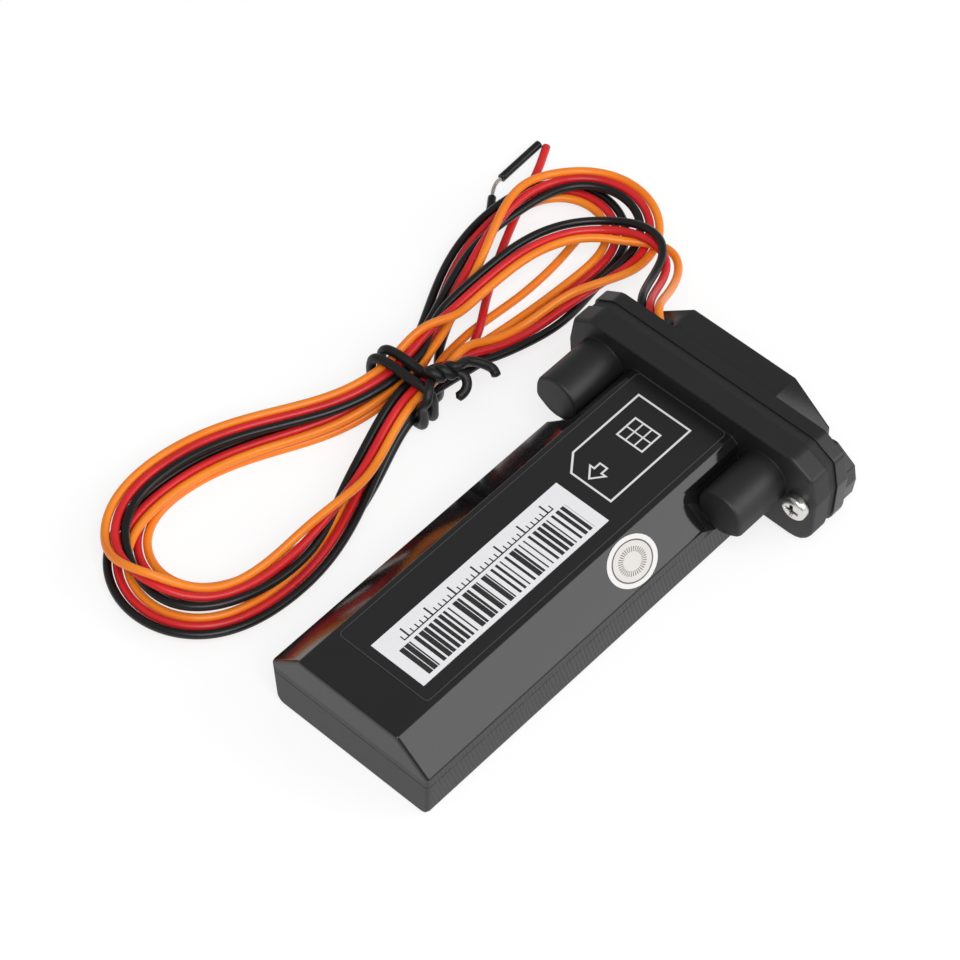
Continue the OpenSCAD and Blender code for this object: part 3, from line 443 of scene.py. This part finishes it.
for colour, place in places.items():
    grommet = [(exit_x,
                exit_y + exit_gap * place * math.cos(cap_slope) + rise * math.sin(cap_slope),
                exit_z - exit_gap * place * math.sin(cap_slope) + rise * math.cos(cap_slope))
               for rise in (0.8, 2.2)]
    route = np.concatenate([grommet, leads_in[colour], ribbon_wire(place), free_ends[colour]])
    line = smooth_line(route, step=0.5, soften=2.6, tail=58)
    line[:, 2] = np.maximum(line[:, 2], wire_d / 2 * mm)
    wire = piece(f"{colour}_wire", [tube_grid(line, wire_d / 2 * mm, wire_sides)], "cap")
    wire.data.materials.append(insulation(f"{colour}_insulation", *colours[colour]))
    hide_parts(f"{colour}_lead_in", f"{colour}_hank")
    wires[colour] = (wire, line)


# Bare ends: seven tinned copper strands, twisted. They show in each cut face, and between the black
# wire's end and the cut-off piece of its insulation that is still on them.
def bundle(line, strand_r=0.11, ring_r=0.225, turn_l=9):
    """Seven strands: one along the line and six round it, on a helix with a turn in 9 mm."""
    return [tube_grid(line, strand_r * mm, 6)] + [
        tube_grid(line, strand_r * mm, 6, k * math.pi / 3, ring_r * mm, 2 * math.pi / (turn_l * mm))
        for k in range(6)]


def cloudy(name, light, dark, rough, uneven, scale, detail=4.0, tooth=0.5, stretch=(1, 1, 1), relief=0.0,
           strength=0.4, **constants):
    """A finish of two near colours in clouds, the stretch being their fineness along X, Y and Z. They raise
    its roughness by up to uneven and, given a relief, its surface by up to that many millimetres."""
    finish = Finish(name, np.add(light, dark) / 2, rough + uneven / 2, **constants)
    spot = finish.vector(*(part * share for part, share in zip(finish.place(), stretch)))
    cloud = finish.noise(spot, scale, detail, tooth)
    finish.set("Base Color", finish.mix(cloud, light, dark))
    finish.set("Roughness", rough + uneven * cloud)
    if relief:
        finish.bump(cloud, relief, strength)
    return finish


tinned = cloudy("tinned_strands", (0.8, 0.79, 0.77), (0.55, 0.5, 0.45), 0.22, 0.25, 2.5, 3.0, metallic=1.0)
strand_line = smooth_line([(49.8, 58.4, 0.7), (50.8, 59.14, 0.7), (51.8, 59.7, 0.7), (52.8, 60.05, 0.7),
                           (53.9, 60.1, 0.7)], 0.2)
strands = piece("black_strands", bundle(strand_line), "cap")
strands.data.materials.append(tinned.material)
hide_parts("black_strand")
tip_line = smooth_line([(53.9, 60.1, 0.7), (58.7, 60.35, 0.7), (63.6, 60.6, 0.7)], 0.4)
tip = piece("black_offcut", [tube_grid(tip_line, wire_d / 2 * mm, wire_sides)], "cap")
tip.data.materials.append(wires["black"][0].data.materials[0])
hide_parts("black_tip")
core_in, core_out = 0.3, 0.12
for colour, line in zip(places, (wires["orange"][1], wires["red"][1], tip_line)):
    way = line[-1] - line[-2]
    way /= np.linalg.norm(way)
    core_line = line[-1] + np.linspace(-core_in, core_out, 4)[:, None] * mm * way
    core = piece(f"{colour}_core", bundle(core_line), "cap")
    core.data.materials.append(tinned.material)


# Tie: a soft black tie wire, wound almost twice round the waist of the hank. Its two ends are twisted
# once over each other on top and bent back beside it.
tie_r = 0.8
tie_step = 0.35
waist_y, waist_z = 39.45, 4.75
waist_half_l, waist_half_w, waist_half_h = 2.1, 6.1, 3.85
wound_from, wound_by = 80, 655
twist_r, twist_by = 0.85, 400
twist_foot, twist_head = np.array([10.4, 34.9, 10.1]), np.array([14, 33.2, 9.7])
blunt_l = 0.4


def filled(v):
    """A sine or cosine to the power 0.4 with its sign kept, which makes a circle a rounded oblong."""
    return np.sign(v) * np.abs(v) ** 0.4


def knot(start):
    """One strand of the twist: a line from its foot to its head, and a circle square to that, whose angle
    in degrees grows from the start."""
    t = np.arange(8) / 7
    angle = np.radians(start + twist_by * t)[:, None]
    return twist_foot + (twist_head - twist_foot) * t[:, None] + twist_r * (
        np.cos(angle) * np.array([0.43, 0.9, 0]) + np.sin(angle) * np.array([0, 0, 1]))


winding = np.arange(46) / 45
wound = np.radians(wound_from + wound_by * winding)
tie_turns = np.column_stack([tie_x + waist_half_l * (1 - 2 * winding),
                             waist_y - waist_half_w * filled(np.cos(wound)),
                             waist_z + waist_half_h * filled(np.sin(wound))])
tie_line = smooth_line(np.concatenate([
    [(18.9, 28.8, 7), (19.5, 29.9, 7.3), (18.6, 31.4, 8.4), (16.8, 32.9, 9.5)], knot(60)[::-1], tie_turns,
    [(7.2, 32.6, 8.3), (8.4, 33.4, 9.5)], knot(240),
    [(14.9, 31.9, 8.6), (14.5, 30.9, 7.6), (13.3, 30.5, 6.9), (11.9, 30.9, 6.5)]]), tie_step, 0.45)
run = np.linspace(0, 1, len(tie_line))
to_end = np.minimum(run, 1 - run) * len(tie_line) * tie_step
blunt = np.sqrt(1 - np.clip(1 - to_end / blunt_l, 0, 0.999) ** 2)
tie = piece("tie", [tube_grid(tie_line, tie_r * mm * blunt, wire_sides)], "cap")
soft_black = Finish("tie_plastic", (0.008, 0.0075, 0.0075), 0.4, specular_ior_level=0.35)
grain = soft_black.noise(soft_black.skin(), 2.2, 4.0)
soft_black.set("Base Color", soft_black.mix(grain, (0.0045, 0.004, 0.004), (0.013, 0.012, 0.012)))
soft_black.set("Roughness", 0.34 + 0.2 * grain)
soft_black.bump(grain, 0.06, 0.5)
tie.data.materials.append(soft_black.material)
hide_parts("twist_tie")


# Housing: one moulding in black plastic. Its roof and slopes are polished, and its long sides have the
# slanting texture of a spark-eroded mould. A thin parting line runs round the sides and the closed end.
def corners(name):
    """The low and high corners of a CAD node, in millimetres."""
    return [np.array(corner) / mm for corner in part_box(name)]


housing_low, housing_high = corners("housing")
cap_face = corners("gasket")[1][0]
flange_t, cap_plate_t = 3.6, 2.3
plates_from, plates_to = housing_high[0] - flange_t - 0.1, cap_face + cap_plate_t + 0.05
texture_top, texture_end = 9.3, 26
end_depth = 0.8
hatch_step, hatch_lean = 0.74, 0.28
parting_z, parting_end = 7.7, 24
bulge_x, bulge_y, bulge_z, bulge_r = 17.0, 16.4, 11.9, 4.5
clouds_of_black = (0.0075, 0.0075, 0.0085), (0.0115, 0.0115, 0.0125)


def softened(name, finish):
    """A copy of a CAD node whose flat facets are joined and whose rounded ones are shaded as one surface:
    each normal is the mean of its faces' by area. Edges over 38 degrees stay crisp, but only those over
    62 on the two screwed plates, whose corners are rounded by facets."""
    node = frame["nodes"][name]
    mesh = node.data.copy()
    work = bmesh.new()
    work.from_mesh(mesh)
    bmesh.ops.remove_doubles(work, verts=work.verts, dist=1e-6)
    bmesh.ops.dissolve_limit(work, angle_limit=math.radians(0.6), verts=work.verts, edges=work.edges)
    for edge in work.edges:
        on_plate = all(plates_from * mm < end.co.x < plates_to * mm for end in edge.verts)
        edge.smooth = edge.calc_face_angle(0) < math.radians(62 if on_plate else 38)
    work.to_mesh(mesh)
    work.free()
    mesh.polygons.foreach_set("use_smooth", np.ones(len(mesh.polygons), bool))
    mesh.materials.clear()
    mesh.materials.append(finish.material)
    made = add(f"{name}_moulding", mesh)
    even = made.modifiers.new("even_normals", "WEIGHTED_NORMAL")
    even.keep_sharp, even.weight = True, 100
    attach(made, body_of(node)[0])
    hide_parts(name)


def line_mask(finish, distance, half):
    """1 within half a line's width of distance 0 and 0 outside, with a soft edge of 0.06 mm."""
    return finish.clamp((half - abs(distance)) / 0.06 + 0.5)


def moulded(name):
    """Black moulded plastic: flow clouds in its colour, a fine grain, and rubs that vary its gloss."""
    finish = Finish(name, (0.012, 0.012, 0.013), 0.3, specular_ior_level=0.5)
    spot = finish.vector(*finish.place())
    cloud = finish.noise(spot, 0.09, 3.0)
    grain = finish.noise(spot, 7.0, 2.0)
    rub = finish.noise(spot, 0.6, 5.0, 0.65)
    return finish, finish.mix(cloud, *clouds_of_black), grain, rub


housing, black, grain, rub = moulded("housing_plastic")
x, y, z = housing.place()
normal_z = housing.parts(housing.node("ShaderNodeNewGeometry", output="Normal"))[2]
upright = housing.clamp((0.5 - abs(normal_z)) * 8)
closed_end = housing.clamp((x - housing_low[0] - end_depth) * -4) * upright
lower = housing.clamp((texture_top - z) * 2) * housing.clamp((texture_end - x) * 2) * upright
weave = housing.noise(housing.vector(x * 1.2, y * 1.2, z * 0.7), 1.0, 1.0)
hatch = ((x + z * hatch_lean + weave * 0.5) * (2 * math.pi / hatch_step)).sine() * 0.5 + 0.5
eroded = lower * (1 - closed_end) * (0.4 + 0.9 * weave)
off_middle = abs(y - middle_y)
on_bulge = ((off_middle - bulge_y) ** 2.0 + (z - bulge_z) ** 2.0).root() < bulge_r
satin = (on_bulge.most(off_middle > bulge_y + 0.2) * (x > bulge_x)).most(x > plates_from - 0.1)
breaks = housing.clamp((housing.noise(housing.vector(x * 0.3, y * 0.3, 0.0), 1.0, 1.0) - 0.42) * 20)
seam = line_mask(housing, z - parting_z, 0.09)
parting = seam * upright * housing.clamp((parting_end - x) * 2) * (0.4 + 0.6 * breaks)
housing.set("Base Color", housing.mix(parting, black, (0.001, 0.001, 0.001)))
housing.set("Roughness", housing.clamp(0.05 + 0.06 * rub + 0.32 * upright + 0.1 * lower + 0.3 * parting
                                       + satin * (0.38 - 0.22 * upright)))
relief = 0.02 * grain + 1.1 * eroded * hatch - 3.0 * parting + 0.04 * rub + 0.1 * satin * grain
housing.bump(relief, 0.08, 0.7, edge=0.25)
softened("housing", housing)


# End cap: a second moulding of the same plastic, a little coarser, whose plate clamps the gasket. Its box
# holds the wires' bend, and its two blocks take the screws' threads.
cap, black, grain, rub = moulded("cap_plastic")
cap.set("Base Color", black)
cap.set("Roughness", 0.3 + 0.14 * rub)
cap.bump(0.12 * grain + 0.05 * rub, 0.08, 0.6, edge=0.25)
softened("end_cap", cap)


# Gasket: a flat ring of soft black rubber between the two flanges, matt, with a bloom of dust. The wires'
# grommet is moulded in the same rubber, and the foam tape under the battery looks like it.
def dress(finish, *nodes):
    """Puts a finish on the slots of pieces whose shape stays."""
    for name in nodes:
        node = frame["nodes"][name]
        if not node.data.materials:
            node.data.materials.append(finish.material)
        for slot in node.material_slots:
            slot.material = finish.material


rubber = cloudy("gasket_rubber", (0.006, 0.006, 0.006), (0.02, 0.02, 0.02), 0.55, 0.3, 1.6, 5.0, 0.6,
                relief=0.05, strength=0.5)
softened("gasket", rubber)
dress(rubber, "wire_grommet", "battery_tape")


# Screws: two self-tapping pan-head screws with a cross recess, bright zinc over steel. They are turned
# blanks with a rolled thread, driven from the housing's side into the cap's blocks.
head_t, head_r, crown_t, crown_r = 1.7, 2.25, 0.7, 1.2
crown_rings = 40
shank_l, core_r, tooth_h, screw_pitch = 10, 0.93, 0.31, 0.8
thread_from, taper_l = 0.6, 2.2
arm_half_w, arm_l, arm_depth = 0.27, 1.3, 0.95
hub_r, hub_depth = 0.62, 0.8


def recess(across, up):
    """Depth of the cross at a point of the head: full within its arms' width and reach, on steep soft
    walls, and shallower towards the arms' ends. A round hub joins the arms."""
    narrow, far = np.minimum(abs(across), abs(up)), np.maximum(abs(across), abs(up))
    walls = np.clip((arm_half_w - narrow) / 0.1 + 0.5, 0, 1) * np.clip((arm_l - far) / 0.15, 0, 1)
    hub = hub_depth * np.clip((hub_r - np.hypot(across, up)) / 0.2, 0, 1)
    return np.maximum((arm_depth - 0.3 * far) * walls, hub)


def screw(name):
    """Two grids about the screw's own line. Head: an ellipse quarter from a flat crown down to the rim,
    less the recess. Shank: its radius is the core plus a triangle wave along it that moves on by a pitch
    in each turn, and it tapers at its end. The skin's first value is the recess's depth."""
    low, high = corners(name)
    seat, heart = low[0] + head_t, (low[1:] + high[1:]) / 2
    quarter = np.radians(np.linspace(0, 90, 12))
    radius = np.concatenate([np.linspace(0.02, crown_r, crown_rings, endpoint=False),
                             crown_r + (head_r - crown_r) * np.sin(quarter), [head_r, head_r - 0.06, 1.2]])
    height = np.concatenate([np.full(crown_rings, head_t),
                             head_t - crown_t + crown_t * np.cos(quarter), [0.06, 0, 0]])
    around = 2 * np.pi * steps(128)
    across, up = radius[:, None] * np.cos(around), radius[:, None] * np.sin(around)
    dent = np.where(height[:, None] > 0.9, recess(across, up), 0)
    head = np.stack([seat - height[:, None] + dent, heart[0] + across, heart[1] + up], -1)
    run = np.arange(0, shank_l, 0.08)[:, None]
    around = 2 * np.pi * steps(40)
    tooth = np.clip(1 - 2.6 * abs((run / screw_pitch - around / (2 * np.pi)) % 1 - 0.5), 0, 1)
    core = core_r + tooth_h * tooth * np.clip(run - thread_from, 0, 1)
    core = core * np.clip(0.25 + (shank_l - run) / taper_l, 0, 1)
    shank = np.stack([np.broadcast_to(seat + run - 0.05, core.shape), heart[0] + core * np.cos(around),
                      heart[1] + core * np.sin(around)], -1)
    head_skin, shank_skin = np.zeros_like(head), np.zeros_like(shank)
    head_skin[..., 0] = dent
    made = piece(f"{name}_turned", [(head * mm, head_skin), (shank * mm, shank_skin)], name)
    made.data.set_sharp_from_angle(angle=math.radians(40))
    made.data.materials.append(zinc.material)
    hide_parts(name)


zinc = Finish("screw_metal", (0.78, 0.77, 0.74), 0.24, metallic=1.0)
x, y, z = zinc.place()
# The recess's depth, which darkens the zinc as painted shade inside the cross.
depth = zinc.parts(zinc.skin())[0]
marks = zinc.noise(zinc.vector(x * 6, y, z), 3.0, 4.0)
bright = zinc.mix(marks, (0.85, 0.84, 0.82), (0.6, 0.59, 0.56))
# Painted shade: the zinc turns dark brown towards the bottom of the cross recess.
zinc.set("Base Color", zinc.mix(zinc.clamp(depth * 1.5), bright, (0.2, 0.15, 0.12)))
zinc.set("Roughness", 0.16 + 0.22 * marks)
zinc.bump(marks, 0.02, 0.4)
for name in ("left_screw", "right_screw"):
    screw(name)


# Roof film: a thin semi-gloss black film on the roof. Printed on it in white are the outline of a card,
# an arrow that shows how the card goes in, and a card's contact pad.
film_low, film_high = corners("film_label")
# The second value is the width of the band along the film's edge that is painted lighter grey, a painted
# highlight.
corner_r, edge_highlight_w = 0.8, 0.16
card_low, card_high = (8.0, -3.07), (26.0, 7.25)
cut_y, cut_normal = 4.85, (-0.612, 0.791)
sign_y = 2.15
arrow_tip, arrow_neck, arrow_back, shaft_from, shaft_half = 9.0, 10.95, 12.25, 10.0, 0.72
arrow_normal = (-0.622, 0.783)
pad_x, pad_half_l, pad_half_w, pad_line_y = 20.2, 2.1, 2.5, 0.85
outline_half, sign_half, pad_line_half = 0.17, 0.15, 0.12


def oblong(x, y, low, high):
    """Millimetres outside the oblong between two corners, or below 0 inside it, to its nearest side."""
    return (abs(x - (low[0] + high[0]) / 2) - (high[0] - low[0]) / 2).most(
        abs(y - (low[1] + high[1]) / 2) - (high[1] - low[1]) / 2)


film = Finish("film", (0.012, 0.012, 0.013), 0.3)
x, y, z = film.place()
spot = film.vector(x, y, z)
orange_peel = film.noise(spot, 1.1, 3.0)
ink = film.noise(spot, 9.0, 2.0)
cut = (x - card_low[0]) * cut_normal[0] + (y - cut_y) * cut_normal[1]
card = oblong(x, y, card_low, card_high).most(cut)
off_sign = abs(y - sign_y)
head = (x - arrow_neck).most((x - arrow_tip) * arrow_normal[0] + off_sign * arrow_normal[1])
shaft = (off_sign - shaft_half).most(x - arrow_back).most(shaft_from - x)
pad = oblong(x, y, (pad_x - pad_half_l, sign_y - pad_half_w), (pad_x + pad_half_l, sign_y + pad_half_w))
pad_lines = line_mask(film, x - pad_x, pad_line_half).most(
    line_mask(film, off_sign - pad_line_y, pad_line_half)) * (pad < 0.0)
signs = line_mask(film, head.least(shaft), sign_half).most(line_mask(film, pad, sign_half))
printed = line_mask(film, card, outline_half).most(signs).most(pad_lines)
inset_low, inset_high = film_low + corner_r, film_high - corner_r
over_x = (abs(x - (film_low[0] + film_high[0]) / 2) - (inset_high[0] - inset_low[0]) / 2).most(0.0)
over_y = (abs(y - (film_low[1] + film_high[1]) / 2) - (inset_high[1] - inset_low[1]) / 2).most(0.0)
# A band just inside the film's rounded outline: a painted highlight where the edge catches light.
rim = film.clamp(((over_x * over_x + over_y * over_y).root() - corner_r + edge_highlight_w) * 8)
face = film.mix(printed * (0.9 + 0.1 * ink), (0.0085, 0.0085, 0.0092), (0.8, 0.8, 0.8))
# Painted highlight: the edge band is coloured a lighter grey than the film's face.
film.set("Base Color", film.mix(rim, face, (0.07, 0.07, 0.075)))
film.set("Roughness", 0.3 + 0.1 * orange_peel + 0.12 * printed)
film.bump(0.3 * orange_peel + 0.2 * printed, 0.03, 0.4)
dress(film, "film_label")


# Bar sticker: white coated paper, pressed on the film. A bar pattern of no meaning is printed along one
# edge and a ruled scale in millimetres along the other.
sticker_low, sticker_high = corners("bar_sticker")
cell_l, bar_least, bar_more = 1.02, 0.26, 0.21
bars_along, bars_up = (1.9, 37.8), (0.8, 6.85)
scale_along, scale_up, tick_l, long_tick_l = (3.9, 36.1), 7.55, 0.9, 1.9
ink_black = (0.005, 0.0045, 0.0045)


def between(value, low, high):
    """1 where the value is above low and below high, else 0."""
    return (value > low) * (value < high)


paper = Finish("bar_paper", (0.82, 0.82, 0.83), 0.55, specular_ior_level=0.12)
x, y, z = paper.place()
along, up = x - sticker_low[0], y - sticker_low[1]
cell = (along / cell_l).floor()
chance = paper.node("ShaderNodeTexWhiteNoise", {"W": cell}, noise_dimensions="1D", output="Value")
bar_w = bar_least + bar_more * (chance * 4).floor()
bars = ((along - cell * cell_l) < bar_w) * between(along, *bars_along) * between(up, *bars_up)
ticks = (abs((along + 0.5) % 1.0 - 0.5) < 0.11) * between(up, scale_up, scale_up + tick_l)
long_ticks = (abs((along + 2.5) % 5.0 - 2.5) < 0.16) * between(up, scale_up, scale_up + long_tick_l)
ruled = ticks.most(long_ticks).most(abs(up - scale_up) < 0.11) * between(along, *scale_along)
fibre = paper.noise(paper.vector(x, y, z), 2.4, 5.0, 0.7)
sheet = paper.mix(fibre, (0.88, 0.87, 0.89), (0.76, 0.76, 0.78))
paper.set("Base Color", paper.mix(bars.most(ruled) * (0.93 + 0.07 * fibre), sheet, ink_black))
paper.set("Roughness", 0.5 + 0.2 * fibre)
paper.bump(fibre, 0.02, 0.4)
dress(paper, "bar_sticker")


# Oval sticker: white paper on the near slope, a little worn. Printed on it are a fine ring and, inside
# that, a ring of short rays on a greyer field.
seal_low, seal_high = corners("oval_sticker")
seal_middle = (seal_low + seal_high) / 2
seal_half_l, seal_half_w = (seal_high[0] - seal_low[0]) / 2, 3.7
flank_slope = math.atan2(5.4, 6)
ring_r, ring_half = 0.79, 0.036
rays_r, rays_half, ray_count = 0.46, 0.1, 36

seal = Finish("seal_paper", (0.86, 0.85, 0.82), 0.4)
x, y, z = seal.place()
u = (x - seal_middle[0]) / seal_half_l
up_slope = (y - seal_middle[1]) * math.cos(flank_slope) + (z - seal_middle[2]) * math.sin(flank_slope)
w = up_slope / seal_half_w
out = (u * u + w * w).root()
ring = seal.clamp((ring_half - abs(out - ring_r)) * 45)
rays = ((w.angle(u) * ray_count).sine() > 0.2) * (abs(out - rays_r) < rays_half)
worn = seal.noise(seal.vector(x, y, z), 1.8, 5.0, 0.6)
field = seal.mix(seal.clamp((out - 0.8) * 20) * 0.7 + 0.3 * worn, (0.62, 0.59, 0.56), (0.74, 0.73, 0.72))
seal.set("Base Color", seal.mix(ring.most(rays * 0.8), field, (0.05, 0.045, 0.04)))
seal.set("Roughness", 0.34 + 0.2 * worn)
seal.bump(worn, 0.02, 0.4)
dress(seal, "oval_sticker")


# Circuit board: glass fibre under green solder mask, slid onto two ledges in the housing. Copper tracks
# show raised through the mask, on a grid of 1.27 mm, and here and there a gilt via.
grid, track_half, via_r = 1.27, 0.12, 0.22
board = Finish("board", (0.01, 0.09, 0.045), 0.32, coat_weight=0.3, coat_roughness=0.1)
x, y, z = board.place()
cell = board.vector((x / grid).floor(), (y / grid).floor(), 0.0)
pick = board.node("ShaderNodeTexWhiteNoise", {"Vector": cell}, noise_dimensions="2D", output="Value")
track = ((abs((y + grid / 2) % grid - grid / 2) < track_half) * (pick > 0.35)).most(
    (abs((x + grid / 2) % grid - grid / 2) < track_half) * (pick < 0.3))
via = (((x % grid - grid / 2) ** 2.0 + (y % grid - grid / 2) ** 2.0).root() < via_r) * (pick > 0.88)
mask = board.mix(track, (0.008, 0.075, 0.04), (0.02, 0.15, 0.075))
board.set("Base Color", board.mix(via, mask, (0.8, 0.6, 0.25)))
board.set("Metallic", via)
board.set("Roughness", 0.3 + 0.08 * board.noise(board.vector(x, y, z), 3.0))
board.bump(track + via, 0.03, 0.5)
dress(board, "circuit_board")


# Patch antenna: a block of fired ceramic with a silvered face, glued to the board. The capacitor's plated
# can has the same bright metal.
ceramic = cloudy("ceramic", (0.7, 0.63, 0.5), (0.5, 0.43, 0.31), 0.5, 0.25, 5.0, 5.0, 0.7,
                 relief=0.04, strength=0.5)
dress(ceramic, "patch_antenna")
silver = cloudy("silver", (0.86, 0.85, 0.83), (0.66, 0.65, 0.62), 0.22, 0.25, 2.0, stretch=(0.15, 5, 5),
                relief=0.01, metallic=1.0)
dress(silver, "patch_electrode", "capacitor")


# Shielding cans, card socket and switch frame: stamped from tinned steel strip, with rolling lines and
# dull rubs, and soldered to the board.
stamped = Finish("can_metal", (0.68, 0.68, 0.66), 0.34, metallic=1.0)
x, y, z = stamped.place()
rolled = stamped.noise(stamped.vector(x * 0.2, y * 7, z * 7), 1.5, 4.0)
blotch = stamped.noise(stamped.vector(x, y, z), 0.5, 4.0)
stamped.set("Base Color", stamped.mix(blotch, (0.74, 0.74, 0.72), (0.55, 0.55, 0.53)))
stamped.set("Roughness", 0.26 + 0.2 * rolled + 0.1 * blotch)
stamped.bump(rolled, 0.015, 0.4)
dress(stamped, "modem_can", "receiver_can", "card_socket", "power_switch")


# Small parts: the switch's knob, lamps in clear resin, a ferrite choke, the amber film antenna on the
# wall, and the plug and header in natural nylon with gilt pins.
def plain_part(name, light, dark, rough, scale=2.5, **constants):
    """A small part's finish: fine clouds, which also vary its gloss and its surface."""
    return cloudy(name, light, dark, rough, 0.16, scale, tooth=0.6, relief=0.02, **constants)


dress(plain_part("knob_plastic", (0.7, 0.7, 0.68), (0.55, 0.55, 0.52), 0.4), "switch_slider")
dress(plain_part("lamp_resin", (0.88, 0.86, 0.7), (0.8, 0.75, 0.5), 0.15, coat_weight=0.4), "status_leds")
dress(plain_part("choke_ferrite", (0.05, 0.05, 0.052), (0.02, 0.02, 0.02), 0.55), "coil_inductor")
dress(plain_part("amber_film", (0.5, 0.2, 0.03), (0.35, 0.12, 0.015), 0.25, 0.8, coat_weight=0.3),
      "film_antenna")
dress(plain_part("natural_nylon", (0.8, 0.76, 0.64), (0.7, 0.65, 0.5), 0.35), "wire_header", "wire_plug")
dress(plain_part("gilt_pins", (0.83, 0.66, 0.3), (0.7, 0.5, 0.2), 0.2, metallic=1.0), "header_pins")


# Battery: a flat lithium cell in a pouch of aluminium foil, whose surface is softly creased. It is taped
# to the housing's floor.
foil = cloudy("pouch", (0.78, 0.79, 0.8), (0.6, 0.61, 0.63), 0.25, 0.2, 0.35, 6.0, 0.6, stretch=(1, 0.6, 1),
              relief=0.25, strength=0.6, metallic=0.9)
dress(foil, "battery")


# Inner leads: the three wires inside the cap, in insulation of the same colours. They run from the plug
# on the board to the grommet in the cap's slope.
for colour in places:
    inner = cloudy(f"{colour}_inner_insulation", *colours[colour], 0.24, 0.16, 0.8, 3.0,
                   coat_weight=0.35, coat_roughness=0.12)
    dress(inner, f"{colour}_lead")


# Studio: a white floor and plain white surroundings, one broad lamp high on the camera's right that the
# near slope mirrors, and another above the camera.
floor_half = 30
floor = bpy.data.meshes.new("floor")
floor.from_pydata([(-floor_half, -floor_half, 0), (floor_half, -floor_half, 0), (floor_half, floor_half, 0),
                   (-floor_half, floor_half, 0)], [], [(0, 1, 2, 3)])
ground = add("floor", floor)
white = Finish("floor_white", (0.9, 0.9, 0.9), 0.9, specular_ior_level=0.0, emission_strength=1.0)
camera_ray, glossy_ray, transmission_ray = (white.node("ShaderNodeLightPath", output=f"Is {kind} Ray")
                                            for kind in ("Camera", "Glossy", "Transmission"))
seen = camera_ray.most(glossy_ray).most(transmission_ray)
white.set("Base Color", white.mix(seen, (0.9, 0.9, 0.9), (0.27, 0.27, 0.27)))
white.set("Emission Color", white.mix(seen, (0, 0, 0), (0.76, 0.76, 0.76)))
ground.data.materials.append(white.material)
world = bpy.data.worlds.new("surroundings")
bpy.context.scene.world = world
world.use_nodes = True
sky = world.node_tree.nodes["Background"]
sky.inputs["Color"].default_value = (1, 1, 1, 1)
sky.inputs["Strength"].default_value = 0.38


def lamp(name, toward, distance, size, power):
    """A square lamp that many metres from the tracker in the direction given, turned to face it."""
    toward = np.array(toward) / np.linalg.norm(toward)
    side = np.cross([0, 0, 1], toward)
    side /= np.linalg.norm(side)
    made = bpy.data.lights.new(name, "AREA")
    made.size, made.energy = size, power
    stand(name, made, side, np.cross(toward, side), toward, toward * distance)


lamp("slope_lamp", (0.44, -0.75, 0.5), 0.9, 0.6, 3.0)
lamp("top_lamp", (-0.35, -0.45, 0.82), 1.3, 0.8, 10.0)
bpy.context.scene.view_settings.view_transform = "Standard"
